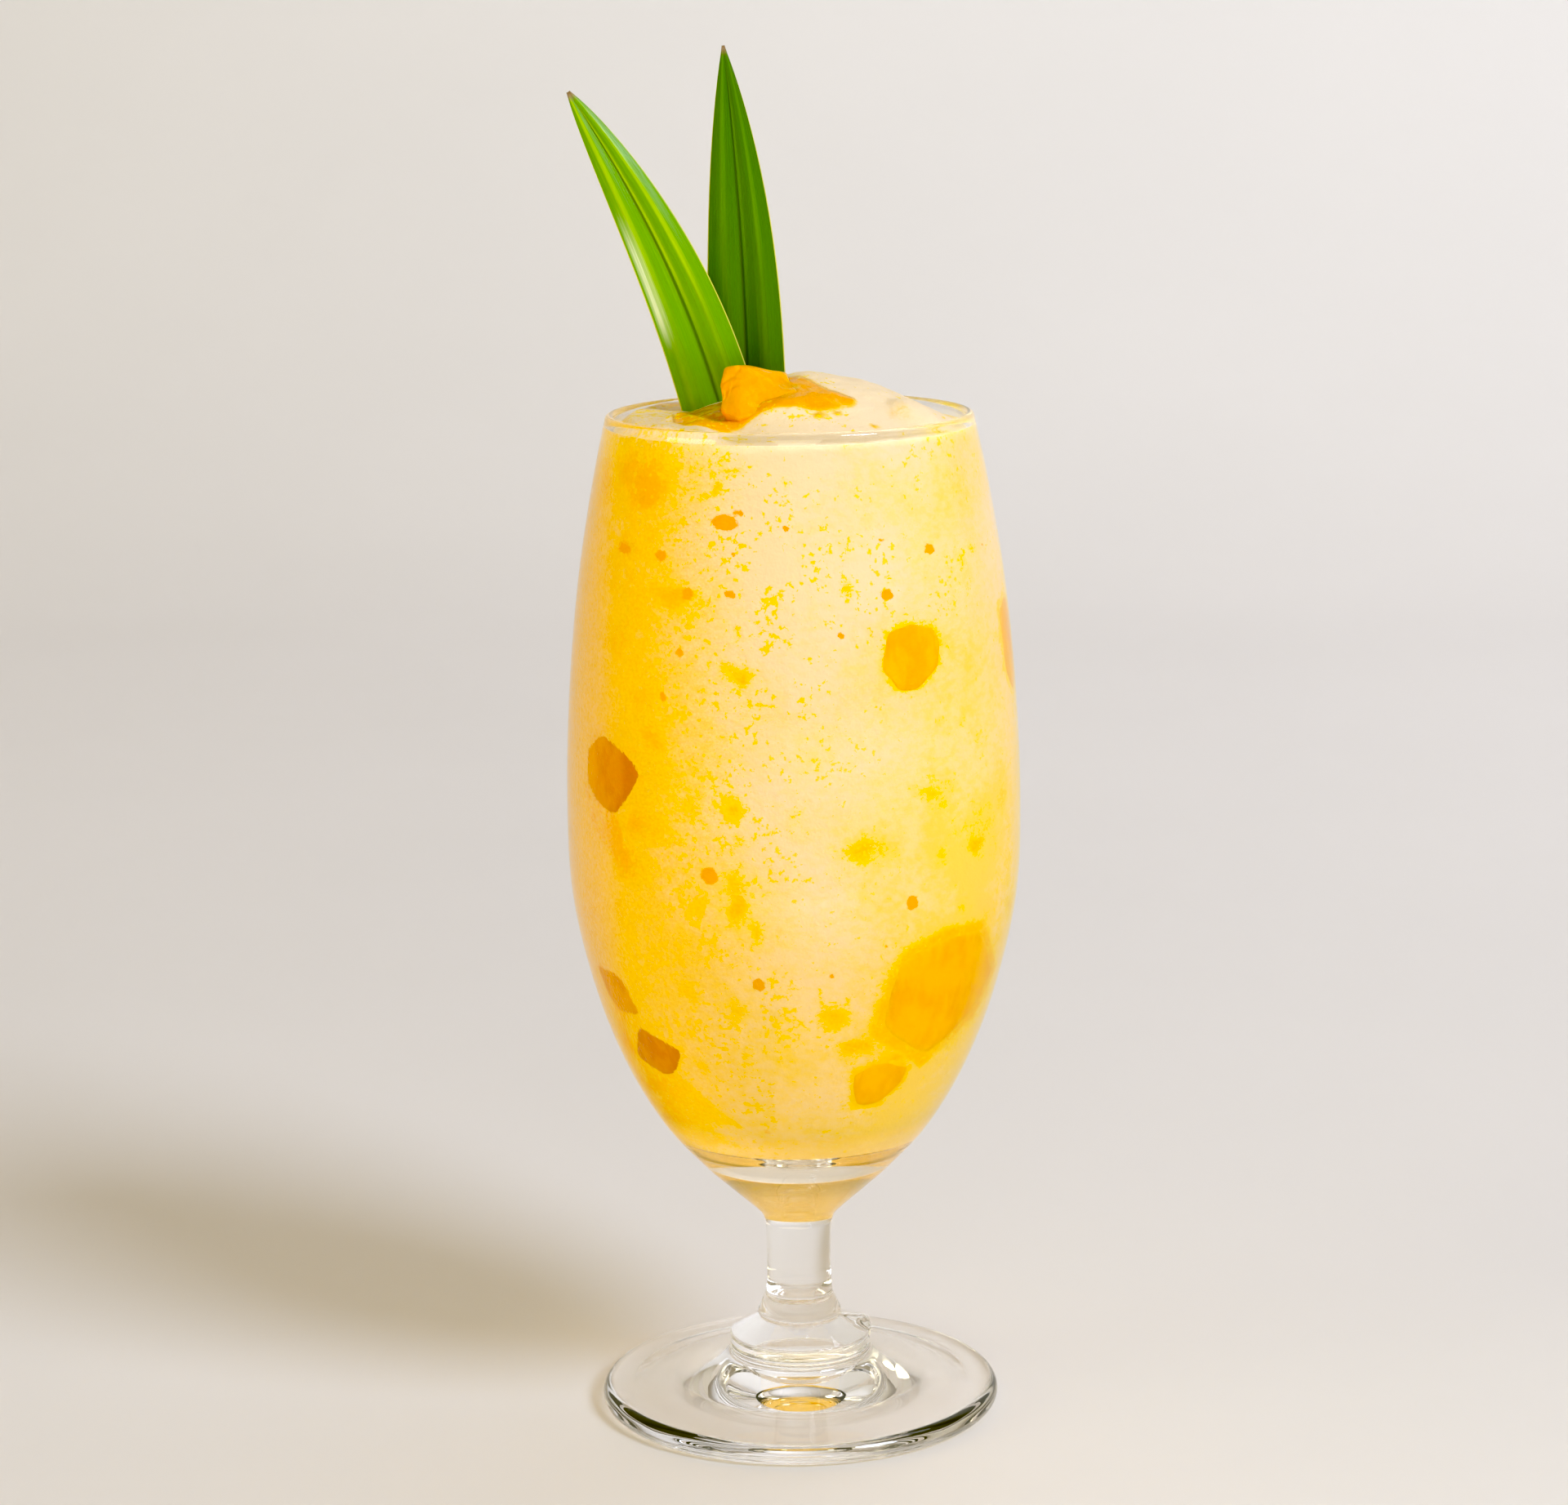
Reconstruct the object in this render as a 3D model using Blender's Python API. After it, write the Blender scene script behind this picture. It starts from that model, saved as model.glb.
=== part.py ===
"""Mango smoothie in a footed glass, with mango pieces and two long leaves stuck in it.

Lengths below are in millimetres, and the meshes are made in metres. The glass
stands on Z = 0 with its axis on Z. The front faces -Y, and an angle is counted
round Z from the front towards +X, in degrees.
"""

import math

import bmesh
import bpy
from mathutils import Vector

MM = 0.001

# Driving dimensions of the glass
HEIGHT = 175.3
RIM_RADIUS = 31.3
RIM_BEAD = 0.85
WIDEST_RADIUS = 39.0
WIDEST_HEIGHT = 108.2
WALL = 2.1
STEM_RADIUS = 5.6
NECK_RADIUS = 8.1
NECK_HEIGHT = 36.1
FOOT_RADIUS = 34.9
FOOT_EDGE = 4.0
SEGMENTS = 44

# The outside of the bowl, as (radius, height), from under the rim to the neck
BOWL_OUTSIDE = [
    (RIM_RADIUS, HEIGHT - RIM_BEAD),
    (33.9, 162.0),
    (36.5, 145.9),
    (38.3, 127.0),
    (WIDEST_RADIUS, WIDEST_HEIGHT),
    (38.3, 92.1),
    (34.7, 76.0),
    (29.7, 62.7),
    (23.6, 52.0),
    (17.2, 44.6),
    (12.6, 40.2),
    (NECK_RADIUS, NECK_HEIGHT),
]
# The inside follows the outside down to here, then closes over the thick bottom
EVEN_WALL_ABOVE = 53.0
BOWL_BOTTOM = [(15.6, 50.0), (8.0, 48.1), (0.0, 47.5)]

# The stem, its lower collar and the stepped shoulder it stands on
STEM = [
    (6.5, 34.4),
    (5.86, 32.9),
    (STEM_RADIUS, 27.3),
    (5.7, 21.3),
    (6.1, 19.3),
    (7.3, 16.5),
    (7.2, 15.5),
]
SHOULDER = [(9.6, 14.2), (11.7, 12.9), (12.2, 12.3), (12.35, 9.8)]
FOOT_TOP = [(13.3, 8.4), (17.5, 6.7), (23.0, 5.2)]
# The underside rises from a flat resting ring to a dimple in the middle
FOOT_UNDERSIDE = [(30.0, 0.0), (24.0, 1.2), (16.0, 1.9), (8.4, 2.1),
                  (7.6, 2.2), (7.0, 2.9), (5.0, 3.2), (2.5, 3.4), (0.0, 3.5)]

# A round pip of glass on the shoulder's right side
PIP_ANGLE = 90.0
PIP_RADIUS = 10.6
PIP_HEIGHT = 14.0
PIP_SIZE = 1.9
PIP_EDGE = 1.6
PIP_ROOT = 4.0

# The smoothie: its level at the glass, its dome, which is steeper on the left, the
# shelf that it runs out to there, nearly as high as the rim, and the small mound
CLEARANCE = 0.3
LEVEL = HEIGHT - 2.2
DOME_PEAK = 8.7
DOME_CENTRE = (3.0, 1.0)
DOME_RADII = (27.0, 24.0)
DOME_LEFT_RADIUS = 20.0
DOME_SHARPNESS = 1.45
SHELF_RISE = 2.0
SHELF_EDGE = -8.0
SHELF_SLOPE = 8.0
MOUND_CENTRE = (21.0, -9.0)
MOUND_PEAK = 2.0
MOUND_RADIUS = 4.0
SURFACE_RINGS = 10

# Thick mango puree lying on the smoothie, from the left leaf's foot to its thin end
PUREE_PATH = [(-18.3, -9.5), (-14.0, -14.0), (-8.8, -14.2), (-3.0, -12.8), (3.0, -12.2), (9.8, -11.4)]
PUREE_PEAK = 1.4
PUREE_WIDTH = 2.8

# Corners of the big mango chunk on top, heights counted from the rim
TOP_CHUNK = [
    (-8.3, -6.0, 8.9),
    (-10.8, -4.6, 8.3),
    (-11.7, -7.2, 5.6),
    (-11.6, -12.0, 1.8),
    (-8.4, -15.0, 0.6),
    (-2.0, -13.0, 2.2),
    (1.6, -9.4, 4.6),
    (-4.4, -2.8, 7.5),
    (-0.6, -3.2, 7.0),
    (-10.6, -1.2, 4.6),
    (-0.5, -0.8, 4.2),
    (-9.8, -4.0, -4.4),
    (-6.5, -11.2, -4.2),
    (-0.8, -4.8, -3.6),
]
CHUNK_BEVEL = 0.8

# Leaves: base, bend and tip of the middle line, widest width and how fast it narrows
LEAF_THICKNESS = 0.6
LEAF_RIDGE = 1.2
LEAF_TIP_SHARE = 0.995
LEAVES = {
    "leaf_left": {
        "line": [(-8.6, 5.5, 160.0), (-13.6, 3.5, 194.0), (-36.6, 3.0, 229.4)],
        "width": 12.9,
        "narrowing": 0.8,
    },
    "leaf_right": {
        "line": [(-7.3, 10.0, 160.0), (-6.6, 9.0, 198.0), (-10.5, 9.8, 236.6)],
        "width": 13.5,
        "narrowing": 0.95,
    },
}
LEAF_ROWS = 14
LEAF_COLUMNS = 8
# The slots that the leaves stand in run from just under their base to over the surface
SLOT_FOOT_SHARE = -0.006
SLOT_TOP_SHARE = 0.42
SLOT_WIDER = 1.0
SLOT_THICKNESS = LEAF_THICKNESS + 2.4 * CLEARANCE

# Mango pieces that lie against the glass. Corners are (along the wall, up) from the
# piece's middle, and depth is how far the piece reaches into the smoothie.
WALL_PIECES = {
    "mango_left_high": {
        "angle": -53.9,
        "height": 117.5,
        "depth": 6.5,
        "corners": [(-2.7, 7.0), (4.4, 4.4), (7.8, 1.1), (4.9, -3.5), (1.5, -7.1), (-3.2, -5.5), (-7.5, -2.8), (-7.7, 3.4)],
    },
    "mango_left_strip": {
        "angle": -60.0,
        "height": 79.5,
        "depth": 5.0,
        "corners": [(-6.2, 3.5), (-0.9, 3.8), (2.5, 3.0), (4.1, -1.1), (5.4, -3.3), (-1.6, -4.0), (-4.7, -1.3)],
    },
    "mango_left_low": {
        "angle": -48.0,
        "height": 69.5,
        "depth": 6.0,
        "corners": [(-3.2, 4.9), (5.9, 1.8), (4.5, -1.1), (2.3, -3.7), (-0.6, -4.2), (-7.7, -2.0)],
    },
    "mango_right_high": {
        "angle": 33.0,
        "height": 138.0,
        "depth": 5.5,
        "corners": [(-4.6, 5.0), (0.2, 5.8), (4.6, 5.0), (6.2, 1.6), (5.2, -2.0), (0.6, -5.5), (-3.4, -5.1), (-5.9, -1.2)],
    },
    "mango_right_edge": {
        "angle": 80.0,
        "height": 136.0,
        "depth": 5.0,
        "corners": [(-4.6, 6.8), (0.5, 8.8), (4.6, 5.6), (4.0, -5.8), (0.0, -8.4), (-4.0, -3.8)],
    },
    "mango_right_big": {
        "angle": 46.0,
        "height": 80.0,
        "depth": 8.0,
        "corners": [
            (-10.3, 8.7),
            (-2.0, 11.1),
            (6.8, 11.1),
            (11.4, 5.5),
            (15.6, 1.3),
            (10.8, -5.1),
            (-1.5, -11.9),
            (-12.6, -4.9),
            (-13.0, -1.4),
            (-11.7, 5.4),
        ],
    },
    "mango_right_low": {
        "angle": 27.0,
        "height": 65.2,
        "depth": 6.0,
        "corners": [(-5.0, 2.9), (0.6, 4.3), (5.6, 2.6), (5.0, -0.4), (1.1, -4.1), (-3.4, -3.8)],
    },
    "mango_back_high": {
        "angle": 158.0,
        "height": 126.0,
        "depth": 6.0,
        "corners": [(-6.4, 5.2), (1.8, 7.4), (7.0, 1.4), (2.6, -6.6), (-5.2, -4.0)],
    },
    "mango_back_middle": {
        "angle": -128.0,
        "height": 98.0,
        "depth": 7.0,
        "corners": [(-8.2, 3.8), (-1.0, 9.2), (7.6, 6.0), (8.8, -3.2), (0.4, -8.6), (-6.6, -5.6)],
    },
    "mango_back_low": {
        "angle": 128.0,
        "height": 72.0,
        "depth": 6.0,
        "corners": [(-7.0, 2.6), (0.6, 5.8), (7.4, 2.2), (4.4, -4.8), (-4.6, -4.2)],
    },
}
# Each level of such a piece: its size against the outline, its depth against the full depth
WALL_PIECE_LEVELS = [(0.5, 0.0), (1.0, 0.0), (0.98, 0.45), (0.72, 1.0)]
CUTTER_GROWTH = 0.55
CUTTER_REACH = 1.6


def clear_scene():
    for old in list(bpy.data.objects):
        bpy.data.objects.remove(old, do_unlink=True)


def material(name, colour, roughness, transmission=0.0):
    finish = bpy.data.materials.new(name)
    finish.use_nodes = True
    shader = finish.node_tree.nodes["Principled BSDF"]
    shader.inputs["Base Color"].default_value = (*colour, 1.0)
    shader.inputs["Roughness"].default_value = roughness
    shader.inputs["Metallic"].default_value = 0.0
    shader.inputs["Transmission Weight"].default_value = transmission
    finish.diffuse_color = (*colour, 1.0)
    return finish


def add_object(name, bm, finish):
    """Turns a bmesh in millimetres into an object in metres."""
    bmesh.ops.scale(bm, vec=(MM, MM, MM), verts=bm.verts)
    bmesh.ops.recalc_face_normals(bm, faces=bm.faces)
    mesh = bpy.data.meshes.new(name)
    bm.to_mesh(mesh)
    bm.free()
    mesh.materials.append(finish)
    mesh.shade_smooth()
    mesh.set_sharp_from_angle(angle=math.radians(40))
    thing = bpy.data.objects.new(name, mesh)
    bpy.context.scene.collection.objects.link(thing)
    return thing


def smooth_curve(points, steps):
    """A Catmull-Rom curve through the points, with that many steps between two of them."""
    ends = [points[0], *points, points[-1]]
    curve = []
    for i in range(1, len(ends) - 2):
        a, b, c, d = (Vector(p) for p in ends[i - 1 : i + 3])
        for k in range(steps):
            t = k / steps
            curve.append(
                0.5 * (2 * b + (c - a) * t + (2 * a - 5 * b + 4 * c - d) * t**2 + (3 * b - a - 3 * c + d) * t**3)
            )
    curve.append(Vector(points[-1]))
    return curve


def offset_inwards(curve, distance):
    """A profile that runs down at +X, moved towards the axis along its own normals."""
    moved = []
    for i, point in enumerate(curve):
        along = (curve[min(i + 1, len(curve) - 1)] - curve[max(i - 1, 0)]).normalized()
        moved.append(point + Vector((along.y, -along.x)) * distance)
    return moved


def bowl_inside():
    """The inner wall from the rim down to the axis."""
    outside = smooth_curve(BOWL_OUTSIDE, 1)
    wall = [p for p in offset_inwards(outside, WALL) if p.y > EVEN_WALL_ABOVE]
    wall[0] = Vector((RIM_RADIUS - 2 * RIM_BEAD, HEIGHT - RIM_BEAD))
    return smooth_curve([*wall, *(Vector(p) for p in BOWL_BOTTOM)], 2)


def arc(centre, radius, start, end, steps):
    """Points on an arc in the profile plane, from start to end in degrees."""
    angles = [math.radians(start + (end - start) * k / steps) for k in range(steps + 1)]
    return [Vector((centre[0] + radius * math.cos(a), centre[1] + radius * math.sin(a))) for a in angles]


def glass_profile():
    """From the axis up the inside, over the rim, then down to the underside's middle."""
    inside = list(reversed(bowl_inside()))[:-1]
    rim = arc((RIM_RADIUS - RIM_BEAD, HEIGHT - RIM_BEAD), RIM_BEAD, 180, 0, 4)
    outside = smooth_curve(BOWL_OUTSIDE, 2)[1:]
    stem = [Vector(p) for p in STEM + SHOULDER + FOOT_TOP]
    half_edge = FOOT_EDGE / 2
    edge = arc((FOOT_RADIUS - half_edge, half_edge), half_edge, 90, -90, 4)
    underside = [Vector(p) for p in FOOT_UNDERSIDE]
    return inside + rim + outside + stem + edge + underside


def revolve(profile):
    """A bmesh turned from (radius, height) points, both ends on the axis, round Z."""
    bm = bmesh.new()
    corners = [bm.verts.new((p.x, 0.0, p.y)) for p in profile]
    edges = [bm.edges.new(pair) for pair in zip(corners, corners[1:])]
    bmesh.ops.spin(
        bm,
        geom=corners + edges,
        cent=(0, 0, 0),
        axis=(0, 0, 1),
        angle=math.tau,
        steps=SEGMENTS,
        use_merge=True,
    )
    bmesh.ops.remove_doubles(bm, verts=bm.verts, dist=0.001)
    bmesh.ops.recalc_face_normals(bm, faces=bm.faces)
    return bm


def around(angle, radius, height):
    """The point at that angle from the front, distance from the axis, and height."""
    turn = math.radians(angle)
    return Vector((radius * math.sin(turn), -radius * math.cos(turn), height))


def make_glass():
    bm = revolve(glass_profile())
    pip = around(PIP_ANGLE, PIP_RADIUS, PIP_HEIGHT)
    root = around(PIP_ANGLE, PIP_RADIUS - PIP_ROOT, PIP_HEIGHT - PIP_ROOT)
    for vert in bm.verts:
        share = (vert.co - pip).length / PIP_SIZE
        if share < PIP_EDGE:
            vert.co += (vert.co - root).normalized() * PIP_SIZE * math.exp(-(share**2))
    return add_object("glass", bm, material("clear_glass", (0.95, 0.95, 0.93), 0.02, 1.0))


def wall_radius(height):
    """Inner radius of the bowl at a height, between the points of its inner profile."""
    inside = bowl_inside()
    for upper, lower in zip(inside, inside[1:]):
        if lower.y <= height <= upper.y:
            share = (height - lower.y) / (upper.y - lower.y)
            return lower.x + (upper.x - lower.x) * share
    raise ValueError(f"no wall at {height}")


def ease(value):
    """0 below 0, 1 above 1 and smooth between."""
    value = min(max(value, 0.0), 1.0)
    return value * value * (3 - 2 * value)


def distance_to_path(x, y, path):
    """Distance from a point to a bent line, and how far along the line it is, 0 to 1."""
    best = (math.inf, 0.0)
    here = Vector((x, y))
    for i, (start, end) in enumerate(zip(path, path[1:])):
        start, end = Vector(start), Vector(end)
        along = (here - start).dot(end - start) / (end - start).length_squared
        along = min(max(along, 0.0), 1.0)
        gap = (here - start.lerp(end, along)).length
        best = min(best, (gap, (i + along) / (len(path) - 1)))
    return best


def surface_height(x, y):
    """Height of the smoothie's top over its level at the glass."""
    side = DOME_LEFT_RADIUS if x < DOME_CENTRE[0] else DOME_RADII[0]
    reach = ((x - DOME_CENTRE[0]) / side) ** 2 + ((y - DOME_CENTRE[1]) / DOME_RADII[1]) ** 2
    dome = DOME_PEAK * max(0.0, 1.0 - reach) ** DOME_SHARPNESS
    shelf = SHELF_RISE * ease((SHELF_EDGE - x) / SHELF_SLOPE)
    off = math.hypot(x - MOUND_CENTRE[0], y - MOUND_CENTRE[1]) / MOUND_RADIUS
    mound = MOUND_PEAK * math.exp(-(off**4))
    gap, along = distance_to_path(x, y, PUREE_PATH)
    puree = PUREE_PEAK * (1.0 - 0.6 * along) * math.exp(-((gap / PUREE_WIDTH) ** 2))
    inside = ease((wall_radius(LEVEL) - math.hypot(x, y)) / 3.0)
    return (dome + shelf + mound + puree) * inside


def make_smoothie(cutters):
    inside = bowl_inside()
    wall = [p for p in offset_inwards(inside, CLEARANCE) if p.y < LEVEL - 1.0]
    wall[-1].x = 0.0
    edge_radius = wall_radius(LEVEL) - CLEARANCE
    rings = [Vector((edge_radius * k / SURFACE_RINGS, LEVEL)) for k in range(SURFACE_RINGS + 1)]
    bm = revolve(rings + wall)
    for vert in bm.verts:
        if abs(vert.co.z - LEVEL) < 0.001:
            vert.co.z += surface_height(vert.co.x, vert.co.y)
    smoothie = add_object("smoothie", bm, material("mango_smoothie", (0.98, 0.70, 0.27), 0.35))
    cut = smoothie.modifiers.new("room for fruit and leaves", "BOOLEAN")
    cut.operation = "DIFFERENCE"
    cut.operand_type = "COLLECTION"
    cut.collection = cutters
    return smoothie


def as_cutter(thing, cutters):
    bpy.context.scene.collection.objects.unlink(thing)
    cutters.objects.link(thing)
    thing.hide_render = True
    thing.display_type = "WIRE"


def grow(bm, distance):
    """Moves every face of a closed bmesh outwards by about the distance."""
    bmesh.ops.recalc_face_normals(bm, faces=bm.faces)
    bm.normal_update()
    moves = [(vert, vert.normal * distance * vert.calc_shell_factor()) for vert in bm.verts]
    for vert, move in moves:
        vert.co += move


def top_chunk_mesh():
    bm = bmesh.new()
    corners = [bm.verts.new((x, y, HEIGHT + z)) for x, y, z in TOP_CHUNK]
    hull = bmesh.ops.convex_hull(bm, input=corners)
    spare = [g for g in hull["geom_interior"] + hull["geom_unused"] if isinstance(g, bmesh.types.BMVert)]
    bmesh.ops.delete(bm, geom=list(set(spare)), context="VERTS")
    bmesh.ops.dissolve_limit(bm, angle_limit=math.radians(6), verts=bm.verts, edges=bm.edges)
    bmesh.ops.bevel(
        bm,
        geom=list(bm.edges),
        offset=CHUNK_BEVEL,
        segments=2,
        profile=0.5,
        affect="EDGES",
        material=-1,
    )
    return bm


def make_top_chunk(cutters, finish):
    room = top_chunk_mesh()
    grow(room, CLEARANCE + 0.1)
    as_cutter(add_object("cutter_top_chunk", room, finish), cutters)
    return add_object("mango_chunk", top_chunk_mesh(), finish)


def leaf_point(leaf, wider, share, side):
    """A point of the leaf: share runs from base 0 to tip 1, side from -1 to 1 across."""
    base, bend, tip = (Vector(p) for p in leaf["line"])
    middle = base * (1 - share) ** 2 + bend * 2 * share * (1 - share) + tip * share**2
    along = ((bend - base) * (1 - share) + (tip - bend) * share).normalized()
    across = along.cross(Vector((0, 1, 0))).normalized()
    out = across.cross(along)
    taper = (1 - max(share, 0.0) ** 3) ** leaf["narrowing"]
    ridge = LEAF_RIDGE * taper * (1 - math.cos(math.tau * side)) / 2
    return middle + across * side * (leaf["width"] + wider) / 2 * taper - out * ridge


def leaf_sheet(name, leaf, finish, start=0.0, end=LEAF_TIP_SHARE, wider=0.0):
    """A flat grid bent and narrowed into the leaf's middle surface."""
    bm = bmesh.new()
    bmesh.ops.create_grid(bm, x_segments=LEAF_COLUMNS, y_segments=LEAF_ROWS, size=1.0)
    for vert in bm.verts:
        share = start + (end - start) * (vert.co.y + 1) / 2
        vert.co = leaf_point(leaf, wider, share, vert.co.x)
    bmesh.ops.triangulate(bm, faces=bm.faces)
    return add_object(name, bm, finish)


def thicken(sheet, thickness):
    solid = sheet.modifiers.new("thickness", "SOLIDIFY")
    solid.thickness = thickness * MM
    solid.offset = 0.0


def make_leaf(name, leaf, cutters, colour):
    finish = material(f"{name}_green", colour, 0.4)
    sheet = leaf_sheet(name, leaf, finish)
    thicken(sheet, LEAF_THICKNESS)
    slot = leaf_sheet(f"cutter_{name}", leaf, finish, SLOT_FOOT_SHARE, SLOT_TOP_SHARE, SLOT_WIDER)
    thicken(slot, SLOT_THICKNESS)
    as_cutter(slot, cutters)
    return sheet


def wall_piece_mesh(piece, growth=0.0, reach=0.0):
    """A block with a flat outline, then wrapped on the inner wall of the bowl."""
    levels = WALL_PIECE_LEVELS
    bm = bmesh.new()
    outline = []
    for corner in piece["corners"]:
        point = Vector(corner)
        point = (point + point.normalized() * growth) * levels[0][0]
        outline.append(bm.verts.new((point.x, point.y, 0.0)))
    edges = [bm.edges.new(pair) for pair in zip(outline, outline[1:] + outline[:1])]
    bmesh.ops.subdivide_edges(bm, edges=edges, cuts=1)
    ring = list(bm.edges)
    front = bmesh.ops.edgeloop_fill(bm, edges=ring)["faces"]
    for (size, deep), (next_size, next_deep) in zip(levels, levels[1:]):
        grown = bmesh.ops.extrude_edge_only(bm, edges=ring)["geom"]
        ring = [g for g in grown if isinstance(g, bmesh.types.BMEdge)]
        new = [g for g in grown if isinstance(g, bmesh.types.BMVert)]
        bmesh.ops.scale(bm, vec=(next_size / size, next_size / size, 1), verts=new)
        bmesh.ops.translate(bm, vec=(0, 0, next_deep - deep), verts=new)
    back = bmesh.ops.edgeloop_fill(bm, edges=ring)["faces"]
    bmesh.ops.poke(bm, faces=front + back)
    middle_radius = wall_radius(piece["height"])
    full_depth = piece["depth"] + growth
    for vert in bm.verts:
        height = piece["height"] + vert.co.y
        angle = piece["angle"] + math.degrees(vert.co.x / middle_radius)
        out = reach if vert.co.z < 0.001 else -full_depth * vert.co.z
        vert.co = around(angle, wall_radius(height) - CLEARANCE + out, height)
    bmesh.ops.triangulate(bm, faces=bm.faces)
    return bm


def make_wall_piece(name, piece, cutters, finish):
    room = wall_piece_mesh(piece, growth=CUTTER_GROWTH, reach=CUTTER_REACH)
    as_cutter(add_object(f"cutter_{name}", room, finish), cutters)
    return add_object(name, wall_piece_mesh(piece), finish)


def main():
    clear_scene()
    cutters = bpy.data.collections.new("cutters")
    bpy.context.scene.collection.children.link(cutters)
    mango = material("mango_flesh", (0.96, 0.46, 0.02), 0.3)
    make_glass()
    make_smoothie(cutters)
    make_top_chunk(cutters, mango)
    make_leaf("leaf_left", LEAVES["leaf_left"], cutters, (0.25, 0.40, 0.03))
    make_leaf("leaf_right", LEAVES["leaf_right"], cutters, (0.14, 0.33, 0.01))
    for name, piece in WALL_PIECES.items():
        make_wall_piece(name, piece, cutters, mango)


main()
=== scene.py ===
# %% [markdown]
# # A mango smoothie in a footed glass
#
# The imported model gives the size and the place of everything: a tall footed
# glass, the smoothie that fills it, mango pieces pressed against the wall, a
# big mango chunk on top and two long leaves. This lesson dresses that frame.
# Each CAD solid is plain, so each one is replaced here by a piece with the
# same form and far more detail, made in millimetres with bmesh operators.

import math
import random

import bmesh
import bpy
from mathutils import Matrix, Vector, noise


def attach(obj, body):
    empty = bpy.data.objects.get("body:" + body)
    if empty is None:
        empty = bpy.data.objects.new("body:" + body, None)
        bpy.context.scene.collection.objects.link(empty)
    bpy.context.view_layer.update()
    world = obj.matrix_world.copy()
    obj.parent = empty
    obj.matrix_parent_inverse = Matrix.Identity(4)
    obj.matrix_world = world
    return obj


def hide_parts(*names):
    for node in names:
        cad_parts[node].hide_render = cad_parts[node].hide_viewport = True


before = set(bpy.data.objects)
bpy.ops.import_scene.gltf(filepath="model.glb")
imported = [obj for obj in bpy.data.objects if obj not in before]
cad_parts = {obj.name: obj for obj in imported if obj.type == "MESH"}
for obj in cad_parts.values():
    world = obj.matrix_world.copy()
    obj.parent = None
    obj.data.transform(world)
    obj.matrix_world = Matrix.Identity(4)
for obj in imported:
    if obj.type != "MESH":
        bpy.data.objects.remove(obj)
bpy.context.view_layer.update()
scene = bpy.context.scene
MM = 0.001
# Unseeded, Blender's noise vectors start from the clock and differ from run to run
noise.seed_set(7)

# %% [markdown]
# ## Camera
#
# The photograph looks slightly down on the glass from 0.68 m away with a long
# lens, so the rim shows as a thin ellipse and the sides hardly converge. The
# camera has no shift, which keeps it right for the other views too. The plain
# "Standard" view keeps yellow as yellow: the filmic ones wash it out.

# %% Camera
camera_data = bpy.data.cameras.new("photo_camera")
camera_data.lens = 92.59
camera_data.sensor_width = 36.0
camera = bpy.data.objects.new("photo_camera", camera_data)
CAMERA_PLACE = (0.0, -0.6797, 0.2529)
PAN, TILT, ROLL = (math.radians(angle) for angle in (0.135, 78.66, -0.68))
camera.matrix_world = (
    Matrix.Translation(CAMERA_PLACE)
    @ Matrix.Rotation(PAN, 4, "Z")
    @ Matrix.Rotation(TILT, 4, "X")
    @ Matrix.Rotation(ROLL, 4, "Z")
)
scene.collection.objects.link(camera)
scene.camera = camera
scene.view_settings.view_transform = "Standard"
print("camera at", [round(v, 3) for v in camera.matrix_world.translation])

# %% [markdown]
# ## Helpers for materials
#
# Colours below are written as they are read off a screen, 0 to 255, and turned
# into the linear values that the shaders want. The other helpers add one node
# each and hand back its output socket, so a material reads like a recipe.


# %% Colour and node helpers
def rgb(red, green, blue):
    """Linear RGBA of a colour given as it looks on a screen, 0 to 255."""
    linear = []
    for value in (red, green, blue):
        value /= 255
        linear.append(value / 12.92 if value <= 0.04045 else ((value + 0.055) / 1.055) ** 2.4)
    return (*linear, 1.0)


def feed(tree, socket, value):
    """Puts a value on a socket, or links another socket to it."""
    if isinstance(value, bpy.types.NodeSocket):
        tree.links.new(value, socket)
    else:
        socket.default_value = value


def fill(tree, node, values):
    """Feeds a node's inputs, given by name or number, and hands the node back."""
    for name, value in values.items():
        feed(tree, node.inputs[name], value)
    return node


def new_node(tree, kind, values):
    return fill(tree, tree.nodes.new(kind), values)


def calc(tree, operation, first, second=0.0, clamp=False):
    math_node = new_node(tree, "ShaderNodeMath", {0: first, 1: second})
    math_node.operation = operation
    math_node.use_clamp = clamp
    return math_node.outputs[0]


def ramp(tree, value, low, high, start=0.0, end=1.0):
    """start below low, end above high, and smooth between."""
    values = {"Value": value, "From Min": low, "From Max": high, "To Min": start, "To Max": end}
    ranged = new_node(tree, "ShaderNodeMapRange", values)
    ranged.interpolation_type = "SMOOTHSTEP"
    return ranged.outputs["Result"]


def mix(tree, share, first, second, blend="MIX"):
    mixer = tree.nodes.new("ShaderNodeMix")
    mixer.data_type = "RGBA"
    mixer.blend_type = blend
    return fill(tree, mixer, {0: share, 6: first, 7: second}).outputs[2]


def own_place(tree, scale=(1.0, 1.0, 1.0), turn=(0.0, 0.0, 0.0)):
    """The piece's own coordinates in metres, stretched or turned."""
    place = tree.nodes.new("ShaderNodeTexCoord").outputs["Object"]
    mapping = {"Vector": place, "Scale": scale, "Rotation": turn}
    return new_node(tree, "ShaderNodeMapping", mapping).outputs["Vector"]


def parts_of(tree, vector):
    """The X, Y and Z of a vector as sockets."""
    split = new_node(tree, "ShaderNodeSeparateXYZ", {0: vector})
    return split.outputs["X"], split.outputs["Y"], split.outputs["Z"]


def added(tree, *values):
    """The sum of several values."""
    total = values[0]
    for value in values[1:]:
        total = calc(tree, "ADD", total, value)
    return total


def times(tree, first, second):
    return calc(tree, "MULTIPLY", first, second)


def less(tree, first, second):
    return calc(tree, "SUBTRACT", first, second)


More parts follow.
